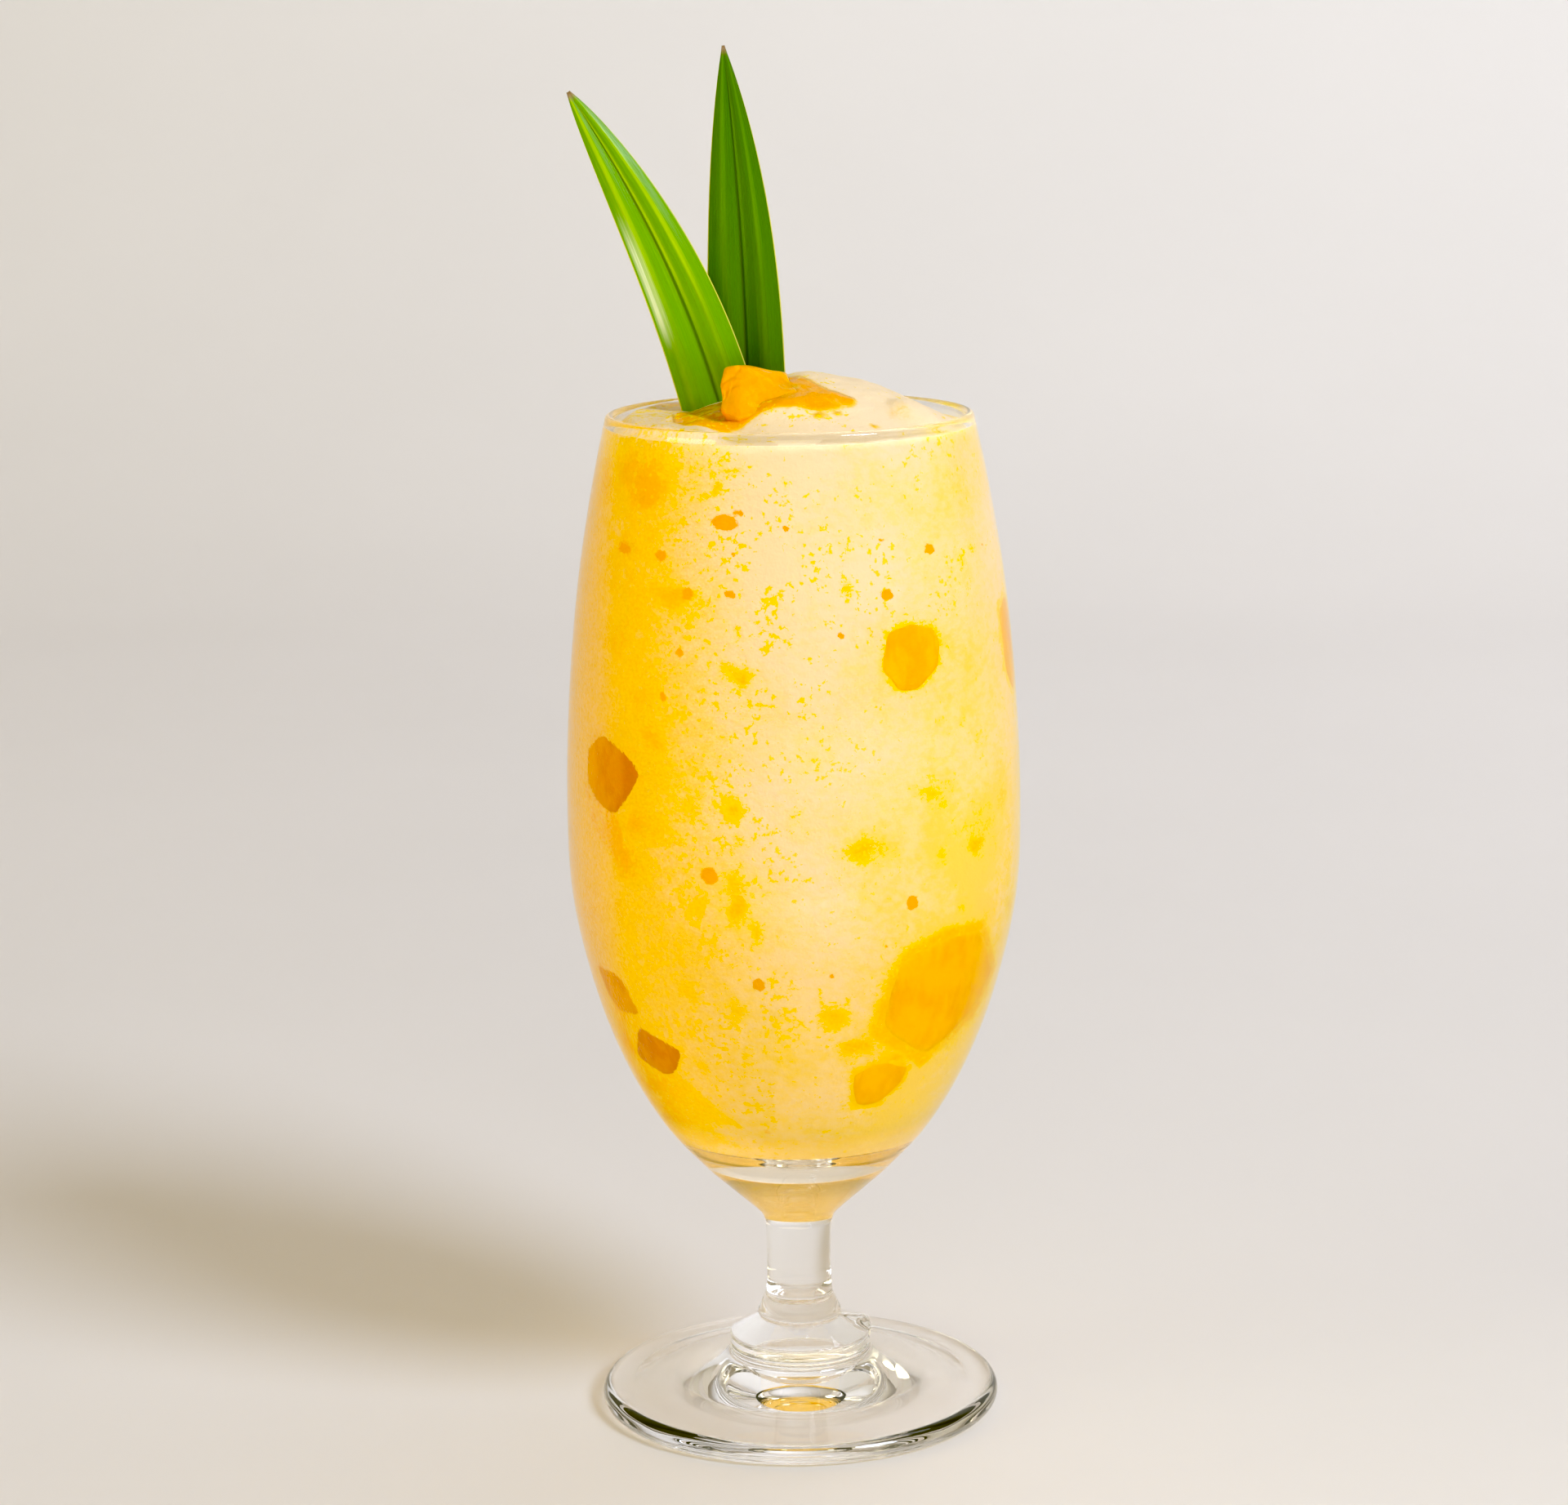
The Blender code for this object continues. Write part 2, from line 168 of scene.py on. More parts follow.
def cloud(tree, place, scale, detail=3.0, rough=0.5, bent=0.0):
    """Soft noise, 0 to 1 with its middle near 0.5."""
    values = {"Vector": place, "Scale": scale, "Detail": detail, "Roughness": rough, "Distortion": bent}
    return new_node(tree, "ShaderNodeTexNoise", values).outputs["Fac"]


def drawn_value(tree, name):
    """A number that the mesh carries on each of its points."""
    attribute = tree.nodes.new("ShaderNodeAttribute")
    attribute.attribute_name = name
    return attribute.outputs["Fac"]


def bumped(tree, height, distance):
    return new_node(tree, "ShaderNodeBump", {"Height": height, "Distance": distance}).outputs["Normal"]


def mix_shaders(tree, share, first, second):
    """Two shaders mixed on the material's output."""
    shaders = {0: share, 1: first.outputs["BSDF"], 2: second.outputs["BSDF"]}
    either = new_node(tree, "ShaderNodeMixShader", shaders)
    tree.links.new(either.outputs["Shader"], tree.nodes["Material Output"].inputs["Surface"])


def new_material(name):
    """A material with its node tree and its Principled shader."""
    finish = bpy.data.materials.new(name)
    finish.use_nodes = True
    return finish, finish.node_tree, finish.node_tree.nodes["Principled BSDF"]


print("helpers ready")

# %% [markdown]
# ## Shared effects
#
# Two effects come back in several finishes, so each is a node group. "Ragged
# edge" turns a soft field into a patch with a torn, speckled outline, as
# pureed fruit has where it smears on glass. "Wet grain" is the fine uneven
# height of blended or cut fruit under a wet film.


# %% Node groups
def new_group(name, inputs, outputs):
    group = bpy.data.node_groups.new(name, "ShaderNodeTree")
    for socket, start in inputs.items():
        made = group.interface.new_socket(name=socket, in_out="INPUT", socket_type="NodeSocketFloat")
        made.default_value = start
    for socket in outputs:
        group.interface.new_socket(name=socket, in_out="OUTPUT", socket_type="NodeSocketFloat")
    return group, group.nodes.new("NodeGroupInput"), group.nodes.new("NodeGroupOutput")


def make_ragged_edge():
    inputs = {"Field": 0.0, "Raggedness": 0.5, "Softness": 0.15}
    group, given, result = new_group("ragged_edge", inputs, ["Mask"])
    coarse = cloud(group, own_place(group, (1.0, 1.0, 1.3)), 380.0, 6.0, 0.68, 0.3)
    fine = cloud(group, own_place(group, (1.0, 1.0, 1.5)), 1500.0, 3.0, 0.6)
    grain = less(group, added(group, times(group, coarse, 0.6), times(group, fine, 0.4)), 0.5)
    torn = added(group, given.outputs["Field"], times(group, grain, given.outputs["Raggedness"]))
    low = less(group, 0.5, given.outputs["Softness"])
    high = calc(group, "ADD", 0.5, given.outputs["Softness"])
    group.links.new(ramp(group, torn, low, high), result.inputs["Mask"])
    return group


def make_wet_grain():
    group, given, result = new_group("wet_grain", {"Coarse": 1.0, "Fine": 1.0}, ["Height"])
    coarse = cloud(group, own_place(group), 500.0, 3.0, 0.5)
    fine = cloud(group, own_place(group), 2200.0, 2.0, 0.5)
    coarse = times(group, coarse, given.outputs["Coarse"])
    fine = times(group, fine, given.outputs["Fine"])
    group.links.new(calc(group, "ADD", coarse, fine), result.inputs["Height"])
    return group


RAGGED_EDGE = make_ragged_edge()
WET_GRAIN = make_wet_grain()


def use_group(tree, group, output, **values):
    """Places a node group with its own values, and hands back one of its outputs."""
    placed = tree.nodes.new("ShaderNodeGroup")
    placed.node_tree = group
    for socket, value in values.items():
        feed(tree, placed.inputs[socket.capitalize()], value)
    return placed.outputs[output]


print("groups:", [g.name for g in (RAGGED_EDGE, WET_GRAIN)])

# %% [markdown]
# ## Helpers for shapes
#
# All round parts are profiles, a list of (radius, height) points, drawn smooth
# through a few measured ones and then spun round Z. `add_piece` turns a bmesh
# in millimetres into a finished object at the origin that rides on the frame.


# %% Shape helpers
def smooth_curve(points, steps):
    """A Catmull-Rom curve through the points, with that many steps between two of them."""
    ends = [points[0], *points, points[-1]]
    curve = []
    for i in range(1, len(ends) - 2):
        a, b, c, d = (Vector(p) for p in ends[i - 1 : i + 3])
        for k in range(steps):
            t = k / steps
            point = 2 * b + (c - a) * t + (2 * a - 5 * b + 4 * c - d) * t**2
            curve.append(0.5 * (point + (3 * b - a - 3 * c + d) * t**3))
    curve.append(Vector(points[-1]))
    return curve


def offset_inwards(curve, distance):
    """A profile that runs down at +X, moved towards the axis along its own normals."""
    moved = []
    for i, point in enumerate(curve):
        along = (curve[min(i + 1, len(curve) - 1)] - curve[max(i - 1, 0)]).normalized()
        moved.append(point + Vector((along.y, -along.x)) * distance)
    return moved


def arc(centre, radius, start, end, steps):
    """Points on an arc in the profile plane, from start to end in degrees."""
    angles = [math.radians(start + (end - start) * k / steps) for k in range(steps + 1)]
    return [Vector((centre[0] + radius * math.cos(a), centre[1] + radius * math.sin(a))) for a in angles]


def spun(profile, segments):
    """A closed bmesh spun round Z from a profile whose two ends are on the axis."""
    bm = bmesh.new()
    points = [bm.verts.new((p.x, 0.0, p.y)) for p in profile]
    line = [bm.edges.new(pair) for pair in zip(points, points[1:])]
    bmesh.ops.spin(
        bm, geom=points + line, cent=(0, 0, 0), axis=(0, 0, 1), angle=math.tau, steps=segments, use_merge=True
    )
    bmesh.ops.remove_doubles(bm, verts=bm.verts, dist=0.0005)
    bmesh.ops.recalc_face_normals(bm, faces=bm.faces)
    return bm


def around(angle, radius, height):
    """The point at that angle from the front, distance from the axis, and height."""
    turn = math.radians(angle)
    return Vector((radius * math.sin(turn), -radius * math.cos(turn), height))


def ease(value):
    """0 below 0, 1 above 1 and smooth between."""
    value = min(max(value, 0.0), 1.0)
    return value * value * (3 - 2 * value)


def add_piece(name, bm, finish, slot, *nodes, sharp=60):
    """Turns a bmesh in millimetres into a piece in metres that stands for CAD nodes."""
    bmesh.ops.scale(bm, vec=(MM, MM, MM), verts=bm.verts)
    mesh = bpy.data.meshes.new(name)
    bm.to_mesh(mesh)
    bm.free()
    mesh.materials.append(finish)
    mesh.shade_smooth()
    mesh.set_sharp_from_angle(angle=math.radians(sharp))
    piece = bpy.data.objects.new(name, mesh)
    scene.collection.objects.link(piece)
    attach(piece, "root")
    if nodes:
        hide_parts(*nodes)
    mesh.calc_loop_triangles()
    print(f"{name}: {len(mesh.loop_triangles)} triangles")
    return piece


print("shape helpers ready")

# %% [markdown]
# ## The glass
#
# A pressed footed glass: an even 2 mm wall that curves in to a rounded rim, a
# thick clear bottom, a short stem on a stepped shoulder, and a flat foot with a
# dimple under its middle. It is one closed surface, inside and outside, so that
# light bends through it as through a solid. The measured points are the ones
# the CAD solid uses, only with many more steps between them.

# %% Profile of the glass
HEIGHT = 175.3
RIM_RADIUS = 31.3
RIM_BEAD = 0.85
WALL = 2.1
FOOT_RADIUS = 34.9
FOOT_EDGE = 4.0
BOWL_OUTSIDE = [
    (RIM_RADIUS, HEIGHT - RIM_BEAD),
    (33.9, 162.0),
    (36.5, 145.9),
    (38.3, 127.0),
    (39.0, 108.2),
    (38.3, 92.1),
    (34.7, 76.0),
    (29.7, 62.7),
    (23.6, 52.0),
    (17.2, 44.6),
    (12.6, 40.2),
    (8.1, 36.1),
]
EVEN_WALL_ABOVE = 53.0
BOWL_BOTTOM = [(15.6, 50.0), (8.0, 48.1), (0.0, 47.5)]
STEM = [(6.5, 34.4), (5.86, 32.9), (5.6, 27.3), (5.7, 21.3), (6.1, 19.3), (7.3, 16.5), (7.2, 15.5)]
SHOULDER = [(9.6, 14.2), (11.7, 12.9), (12.2, 12.3), (12.35, 9.8)]
FOOT_TOP = [(13.3, 8.4), (17.5, 6.7), (23.0, 5.2)]
FOOT_UNDERSIDE = [(30.0, 0.0), (24.0, 1.2), (16.0, 1.9), (8.4, 2.1),
                  (7.6, 2.2), (7.0, 2.9), (5.0, 3.2), (2.5, 3.4), (0.0, 3.5)]
GLASS_SEGMENTS = 176


def bowl_inside(steps):
    """The inner wall from the rim down to the axis."""
    outside = smooth_curve(BOWL_OUTSIDE, 1)
    wall = [p for p in offset_inwards(outside, WALL) if p.y > EVEN_WALL_ABOVE]
    wall[0] = Vector((RIM_RADIUS - 2 * RIM_BEAD, HEIGHT - RIM_BEAD))
    return smooth_curve([*wall, *(Vector(p) for p in BOWL_BOTTOM)], steps)


INSIDE = bowl_inside(10)


def wall_radius(height):
    """Inner radius of the bowl at a height."""
    for upper, lower in zip(INSIDE, INSIDE[1:]):
        if lower.y <= height <= upper.y:
            share = (height - lower.y) / (upper.y - lower.y)
            return lower.x + (upper.x - lower.x) * share
    raise ValueError(f"no wall at {height}")


def glass_profile():
    """From the axis up the inside, over the rim, then down to the underside's middle."""
    inside = list(reversed(bowl_inside(8)))[:-1]
    rim = arc((RIM_RADIUS - RIM_BEAD, HEIGHT - RIM_BEAD), RIM_BEAD, 180, 0, 10)
    outside = smooth_curve([*BOWL_OUTSIDE, *STEM[:2]], 8)[1:]
    stem = smooth_curve(STEM[1:], 5)[1:]
    shoulder = smooth_curve(SHOULDER + FOOT_TOP, 4)
    half_edge = FOOT_EDGE / 2
    edge = arc((FOOT_RADIUS - half_edge, half_edge), half_edge, 90, -90, 14)
    underside = smooth_curve(FOOT_UNDERSIDE, 4)
    return inside + rim + outside + stem + shoulder + edge + underside


print("glass profile:", len(glass_profile()), "points")

# %% [markdown]
# The finish is clear glass of index 1.5 with the faintest warm grey tint. Its
# cold upper wall is misted: thousands of beads too fine to see one by one, so
# they are a fine bump that comes and goes in soft patches, strongest on the
# shaded left. Lamps would not reach what stands behind real glass without very
# many samples, so for their rays alone the material turns transparent, darker
# at grazing angles, which gives the foot its pale shadow.


# %% Clear misted glass
FOR_LAMPS_FACING = (0.51, 0.42, 0.435, 1.0)
FOR_LAMPS_GRAZING = (0.36, 0.33, 0.29, 1.0)
FOR_LAMPS_RIM = (0.97, 0.97, 0.96, 1.0)
FOR_LAMPS_BOTTOM = (0.84, 0.74, 0.60, 1.0)
FOR_LAMPS_FOOT = (0.47, 0.385, 0.30, 1.0)


def glass_finish():
    finish, tree, shader = new_material("clear_misted_glass")
    place = own_place(tree)
    x, _, z = parts_of(tree, place)
    bowl = times(tree, ramp(tree, z, 0.052, 0.075), ramp(tree, z, 0.1735, 0.1715))
    left = ramp(tree, x, 0.002, -0.034)
    right = times(tree, ramp(tree, x, 0.010, 0.024), ramp(tree, z, 0.120, 0.150))
    patch = ramp(tree, cloud(tree, place, 38.0, 2.0), 0.40, 0.62)
    misted = added(tree, times(tree, left, 0.9), times(tree, right, 0.30), times(tree, patch, 0.06))
    misted = calc(tree, "MULTIPLY", misted, bowl, clamp=True)
    beads = new_node(tree, "ShaderNodeTexVoronoi", {"Vector": place, "Scale": 1250.0})
    dome = ramp(tree, beads.outputs["Distance"], 0.0, 0.6, 1.0, 0.0)
    dome = added(tree, times(tree, dome, 0.6), cloud(tree, place, 2600.0, 2.0))
    wave = cloud(tree, place, 60.0, 1.0)
    height = added(tree, times(tree, dome, misted), times(tree, wave, 0.9))
    look = {
        "Normal": bumped(tree, height, 0.00010),
        "Roughness": times(tree, misted, 0.04),
        "Base Color": (0.985, 0.982, 0.97, 1.0),
        "IOR": 1.5,
        "Transmission Weight": 1.0,
    }
    fill(tree, shader, look)

    facing = new_node(tree, "ShaderNodeLayerWeight", {"Blend": 0.35})
    wall = mix(tree, facing.outputs["Facing"], FOR_LAMPS_FACING, FOR_LAMPS_GRAZING)
    on_left = ramp(tree, x, 0.004, -0.024, 0.0, 0.45)
    low_down = ramp(tree, z, 0.088, 0.055, 0.0, 0.35)
    brighter = added(tree, 1.0, on_left, low_down)
    wall = mix(tree, 1.0, wall, brighter, "MULTIPLY")
    wall = mix(tree, ramp(tree, z, 0.1732, 0.1745), wall, FOR_LAMPS_RIM)
    wall = mix(tree, ramp(tree, z, 0.054, 0.047), wall, FOR_LAMPS_BOTTOM)
    wall = mix(tree, ramp(tree, z, 0.022, 0.012), wall, FOR_LAMPS_FOOT)
    for_lamps = new_node(tree, "ShaderNodeBsdfTransparent", {"Color": wall})
    path = tree.nodes.new("ShaderNodeLightPath")
    mix_shaders(tree, path.outputs["Is Shadow Ray"], shader, for_lamps)
    return finish


GLASS = glass_finish()
print("finish:", GLASS.name)

# %% [markdown]
# A small round pip of glass sits on the right of the shoulder, where two halves
# of the mould met. The points near it are pushed outwards in a soft dome.

# %% The glass itself
PIP = around(90.0, 10.6, 14.0)
PIP_ROOT = around(90.0, 6.6, 10.0)
PIP_SIZE = 1.9
glass_mesh = spun(glass_profile(), GLASS_SEGMENTS)
for point in glass_mesh.verts:
    share = (point.co - PIP).length / PIP_SIZE
    if share < 2.4:
        point.co += (point.co - PIP_ROOT).normalized() * PIP_SIZE * math.exp(-(share**2))
add_piece("footed_glass", glass_mesh, GLASS, "glass", "glass")

# %% [markdown]
# ## Where the fruit lies
#
# Puree smears and small dots of mango lie against the wall, each at an angle
# from the front, a height, and a half width and half height in millimetres.
# They aren't pieces of their own: they colour the smoothie, so they are drawn
# on its mesh as a soft field that the material then tears at the edges. The
# mango pieces do stand as bodies, with the outlines the CAD solids have.

# %% Smears, dots and pieces
# (angle, height, half width, half height, strength)
SMEARS = [
    (-53, 168, 10.2, 5.5, 1.0), (-71, 165, 5.1, 7.7, 0.9), (-48, 165, 5.8, 3.6, 1.15),
    (-52, 155.7, 6.7, 4.5, 0.75), (-60, 151, 3.5, 7.8, 0.6), (-34.5, 148, 4.1, 2.6, 1.0),
    (-55, 140.5, 7.3, 3.2, 0.85), (-43, 144, 3.9, 5.3, 0.6), (-42, 131, 4.9, 3.2, 0.85),
    (-56, 129.5, 7, 5.4, 0.5), (-38.5, 125, 3.7, 4, 0.8), (-35, 117.6, 3.6, 4.1, 0.7),
    (-59, 123, 4.2, 4.1, 0.9), (-41, 110.3, 6, 4.6, 0.95), (-28, 114.7, 4.5, 4.8, 0.55),
    (-48.6, 104, 4.1, 3.7, 1.0), (-65, 81.6, 5, 3, 1.0), (-64, 76.5, 4.8, 6, 1.1),
    (-64, 70.7, 3.8, 5.7, 1.1), (-60, 62.2, 8.5, 2.6, 0.9), (-53, 57.3, 8.5, 4.8, 0.9),
    (-40, 54, 5, 2.5, 0.7), (-22, 59.3, 3.9, 1.7, 0.35), (64.7, 76.4, 5.4, 3.7, 1.0),
    (52.7, 90.5, 5.2, 1.8, 0.9), (48.5, 72.3, 6.6, 3.3, 0.9), (66, 82.8, 3.8, 5, 0.9),
    (19, 72.8, 3.4, 2.2, 0.9), (22.5, 62.8, 2.6, 1.6, 0.8), (32, 69.7, 3.9, 2.3, 0.9),
    (37.2, 115, 3.3, 1.9, 0.7), (42.7, 116.5, 2.5, 1.6, 0.6), (55, 108.2, 6, 5.5, 0.5),
    (17, 107.8, 3.6, 2, 0.85), (22.6, 105.8, 3.1, 1.4, 0.5), (53.3, 105.5, 2.7, 2, 0.85),
    (39.6, 104.2, 1.4, 1.7, 0.7), (66.5, 111.7, 2.7, 5.5, 0.6), (69.6, 99.3, 3.2, 5.8, 0.5),
    (-14.3, 99, 1.9, 4.2, 0.95), (-10.2, 94, 1.3, 2.2, 0.7), (-25.5, 97.7, 1.5, 3.1, 0.6),
    (-29, 92, 1.2, 1.4, 0.5), (10, 78.7, 1.9, 2.7, 0.9), (6.3, 82.3, 0.7, 1.2, 0.6),
    (12.5, 81.6, 0.6, 1.5, 0.6), (-16.2, 79.4, 2.1, 2.4, 0.75), (-30.4, 82.6, 2.5, 1.8, 0.7),
    (-16.7, 87.6, 1.7, 1.2, 0.5), (-14.6, 70.4, 1.9, 2.9, 0.5), (-31, 69.2, 1.9, 1.3, 0.5),
    (-42, 85.6, 1.9, 1.2, 0.5), (-12.9, 136.7, 2.4, 2.1, 0.95), (-15.6, 137.9, 1.4, 1.3, 0.8),
    (-21.7, 133.4, 2.5, 0.7, 0.7), (-21.5, 139.8, 1.7, 1.2, 0.5), (-14, 143.3, 1.1, 1.3, 0.6),
    (-15.4, 114, 2.2, 1.9, 0.95), (-14, 109.2, 1.4, 1.9, 0.6), (-16.6, 107, 1.1, 0.7, 0.5),
    (0.6, 113.4, 1.3, 1.6, 0.5), (-2.5, 115.4, 1.3, 0.8, 0.4), (-33.8, 165.6, 1.9, 1, 0.6),
    (-26.7, 164.8, 1.5, 0.7, 0.5), (-21.6, 166, 1.1, 1.3, 0.8), (-18.9, 169.6, 2.2, 0.7, 0.7),
    (-13, 170.2, 1.3, 0.7, 0.5), (-24, 163.3, 0.9, 0.8, 0.5), (-1.4, 167.4, 0.8, 1, 0.5),
    (15, 150.2, 0.8, 1.3, 0.7), (27.4, 151.3, 1.2, 0.8, 0.5), (54.4, 153, 1.5, 1.3, 0.7),
    (61.4, 154, 1.3, 0.9, 0.6), (48.3, 126.8, 1.2, 0.8, 0.6), (54.8, 123.8, 2.3, 1.4, 0.45),
    (13, 126, 0.8, 0.9, 0.5), (68.7, 138.4, 1.8, 1.2, 0.6), (76, 91.6, 3.1, 3.4, 0.8),
    (49, 94.3, 1.5, 1.3, 0.6), (65.6, 120.2, 1.9, 1.4, 0.4), (-18, 126, 2.2, 2.4, 0.4),
    (-21.5, 119.7, 2.8, 1.4, 0.35), (-22.6, 127.7, 2, 1.1, 0.4), (-31.7, 140.7, 2.2, 1, 0.5),
    (-29.4, 137, 1.5, 1.3, 0.4), (-24.5, 145, 2, 0.8, 0.3),
]
DOTS = [
    (-19.1, 160.8, 2.3, 1.4, 1.0), (-15, 162.4, 1.1, 0.8, 0.8), (-21.7, 103.1, 1.6, 1.5, 1.0),
    (-1.2, 159.9, 0.65, 0.65, 1.0), (42, 155.2, 1.2, 0.9, 1.0), (26.5, 148.7, 1.2, 1, 1.0),
    (-38.8, 154.9, 1.2, 1, 1.0), (-53.8, 155.2, 1.9, 0.9, 1.0), (-16.8, 149.3, 0.95, 0.8, 1.0),
    (-16.3, 155.6, 0.55, 0.5, 0.9), (-18.5, 152.7, 0.4, 0.4, 0.8), (-16.9, 146.7, 0.55, 0.4, 0.8),
    (13, 142.6, 0.7, 0.7, 0.9), (30.9, 97.6, 1.2, 1.3, 1.0), (28, 98.1, 0.75, 0.4, 0.8),
    (-9.9, 84.8, 1.1, 1.3, 1.0), (9.1, 86.2, 0.7, 0.6, 0.9), (26.3, 157.5, 0.6, 0.5, 0.9),
    (20, 125.7, 0.4, 0.5, 0.8), (23.4, 139.9, 0.4, 0.5, 0.8), (-30.8, 139.4, 1.1, 1.1, 0.8),
    (-29.1, 149.1, 1.2, 1.2, 0.9), (-35.4, 132, 0.8, 1.2, 0.8), (67, 153.9, 0.6, 0.4, 0.8),
    (24.2, 90.5, 0.45, 0.45, 0.7), (-11.8, 56.8, 1.1, 0.9, 0.6), (-56.6, 144.4, 0.9, 0.4, 0.6),
]
MANGO_PIECES = {
    "left_high": (
        -53.9, 117.5, 6.5,
        [
            (-2.7, 7), (4.4, 4.4), (7.8, 1.1), (4.9, -3.5),
            (1.5, -7.1), (-3.2, -5.5), (-7.5, -2.8), (-7.7, 3.4),
        ],
    ),
    "left_strip": (
        -60, 79.5, 5,
        [
            (-6.2, 3.5), (-0.9, 3.8), (2.5, 3), (4.1, -1.1),
            (5.4, -3.3), (-1.6, -4), (-4.7, -1.3),
        ],
    ),
    "left_low": (
        -48, 69.5, 6, [(-3.2, 4.9), (5.9, 1.8), (4.5, -1.1), (2.3, -3.7), (-0.6, -4.2), (-7.7, -2)],
    ),
    "right_high": (
        33, 138, 5.5,
        [
            (-4.6, 5), (0.2, 5.8), (4.6, 5), (6.2, 1.6),
            (5.2, -2), (0.6, -5.5), (-3.4, -5.1), (-5.9, -1.2),
        ],
    ),
    "right_edge": (80, 136, 5, [(-4.6, 6.8), (0.5, 8.8), (4.6, 5.6), (4, -5.8), (0, -8.4), (-4, -3.8)]),
    "right_big": (
        46, 80, 8,
        [
            (-10.3, 8.7), (-2, 11.1), (6.8, 11.1), (11.4, 5.5), (15.6, 1.3),
            (10.8, -5.1), (-1.5, -11.9), (-12.6, -4.9), (-13, -1.4), (-11.7, 5.4),
        ],
    ),
    "right_low": (27, 65.2, 6, [(-5, 2.9), (0.6, 4.3), (5.6, 2.6), (5, -0.4), (1.1, -4.1), (-3.4, -3.8)]),
    "back_high": (158, 126, 6, [(-6.4, 5.2), (1.8, 7.4), (7, 1.4), (2.6, -6.6), (-5.2, -4)]),
    "back_middle": (
        -128, 98, 7, [(-8.2, 3.8), (-1, 9.2), (7.6, 6), (8.8, -3.2), (0.4, -8.6), (-6.6, -5.6)],
    ),
    "back_low": (128, 72, 6, [(-7, 2.6), (0.6, 5.8), (7.4, 2.2), (4.4, -4.8), (-4.6, -4.2)]),
}
print(len(SMEARS), "smears,", len(DOTS), "dots,", len(MANGO_PIECES), "mango pieces")

# %% [markdown]
# The far side of the glass has smears and dots of its own, strewn by a seeded
# random draw that follows the sizes of the ones in front.

# %% The far side
strewn = random.Random(11)


def strew(samples, count):
    """Copies of measured marks at new places round the back of the glass."""
    made = []
    for _ in range(count):
        _, _, wide, high, strength = strewn.choice(samples)
        made.append((strewn.uniform(82, 282), strewn.uniform(56, 168), wide, high, strength))
    return made


far_smears = strew(SMEARS, 95)
far_dots = strew(DOTS, 40)
print(len(far_smears), "smears and", len(far_dots), "dots behind")

# %% [markdown]
# ## The smoothie
#
# It fills the bowl up to 2 mm under the rim, rises to a soft dome with a small
# mound beside it, and carries a trail of thick puree in front of the chunk.
# Its side reaches a tenth of a millimetre into the glass: were it to stop short
# of the wall, the air gap would show as a silver line.

# %% Form of the smoothie's top
LEVEL = HEIGHT - 2.2
REACH = 0.12
DOME_PEAK = 8.7
DOME_CENTRE = (3.0, 1.0)
DOME_RADII = (27.0, 24.0)
DOME_LEFT_RADIUS = 20.0
DOME_SHARPNESS = 1.45
SHELF_RISE = 2.0
SHELF_EDGE = -8.0
SHELF_SLOPE = 8.0
MOUND_CENTRE = (21.0, -9.0)
MOUND_PEAK = 2.0
MOUND_RADIUS = 4.0
PUREE_PATH = [(-18.3, -9.5), (-14.0, -14.0), (-8.8, -14.2), (-3.0, -12.8), (3.0, -12.2), (9.8, -11.4)]
PUREE_PEAK = 1.4
PUREE_WIDTH = 2.8


def line_gap(point, start, end):
    """How far a point is from a line, and how far along the line it is, 0 to 1."""
    along = (point - start).dot(end - start) / (end - start).length_squared
    along = min(max(along, 0.0), 1.0)
    return (point - start.lerp(end, along)).length, along


def distance_to_path(x, y, path):
    """Distance from a point to a bent line, and how far along the line it is, 0 to 1."""
    best = (math.inf, 0.0)
    here = Vector((x, y))
    for i, (start, end) in enumerate(zip(path, path[1:])):
        gap, along = line_gap(here, Vector(start), Vector(end))
        best = min(best, (gap, (i + along) / (len(path) - 1)))
    return best


def surface_height(x, y):
    """Height of the smoothie's top over its level at the glass."""
    side = DOME_LEFT_RADIUS if x < DOME_CENTRE[0] else DOME_RADII[0]
    reach = ((x - DOME_CENTRE[0]) / side) ** 2 + ((y - DOME_CENTRE[1]) / DOME_RADII[1]) ** 2
    dome = DOME_PEAK * max(0.0, 1.0 - reach) ** DOME_SHARPNESS
    shelf = SHELF_RISE * ease((SHELF_EDGE - x) / SHELF_SLOPE)
    off = math.hypot(x - MOUND_CENTRE[0], y - MOUND_CENTRE[1]) / MOUND_RADIUS
    mound = MOUND_PEAK * math.exp(-(off**4))
    gap, along = distance_to_path(x, y, PUREE_PATH)
    puree = PUREE_PEAK * (1.0 - 0.6 * along) * math.exp(-((gap / PUREE_WIDTH) ** 2))
    lumps = 0.35 * noise.noise(Vector((x, y, 0.0)) * 0.16) + 0.12 * noise.noise(Vector((x, y, 7.0)) * 0.55)
    inside = ease((wall_radius(LEVEL) - math.hypot(x, y)) / 3.0)
    return (dome + shelf + mound + puree + lumps) * inside


print("dome rises", round(surface_height(*DOME_CENTRE), 2), "mm over the level")

# %% [markdown]
# The fields on the mesh are worked out point by point: how strongly puree lies
# there, and how strongly a dot does. Round each mango piece the puree field is
# strong too, because the fruit sheds a golden halo into the drink beside it.


# %% Fields of puree and dots
def along_wall(turn, radius):
    """The way round the wall, in millimetres, that a turn of some degrees makes."""
    return math.radians((turn + 180.0) % 360.0 - 180.0) * radius


def mark_strength(angle, height, radius, marks):
    """The strongest mark at a place on the wall, 0 where there is none."""
    best = 0.0
    for mark_angle, mark_height, wide, high, strength in marks:
        up = (height - mark_height) / high
        if abs(up) > 2.0:
            continue
        across = along_wall(angle - mark_angle, radius) / wide
        if abs(across) < 2.0:
            best = max(best, strength * math.exp(-0.75 * (across * across + up * up)))
    return best


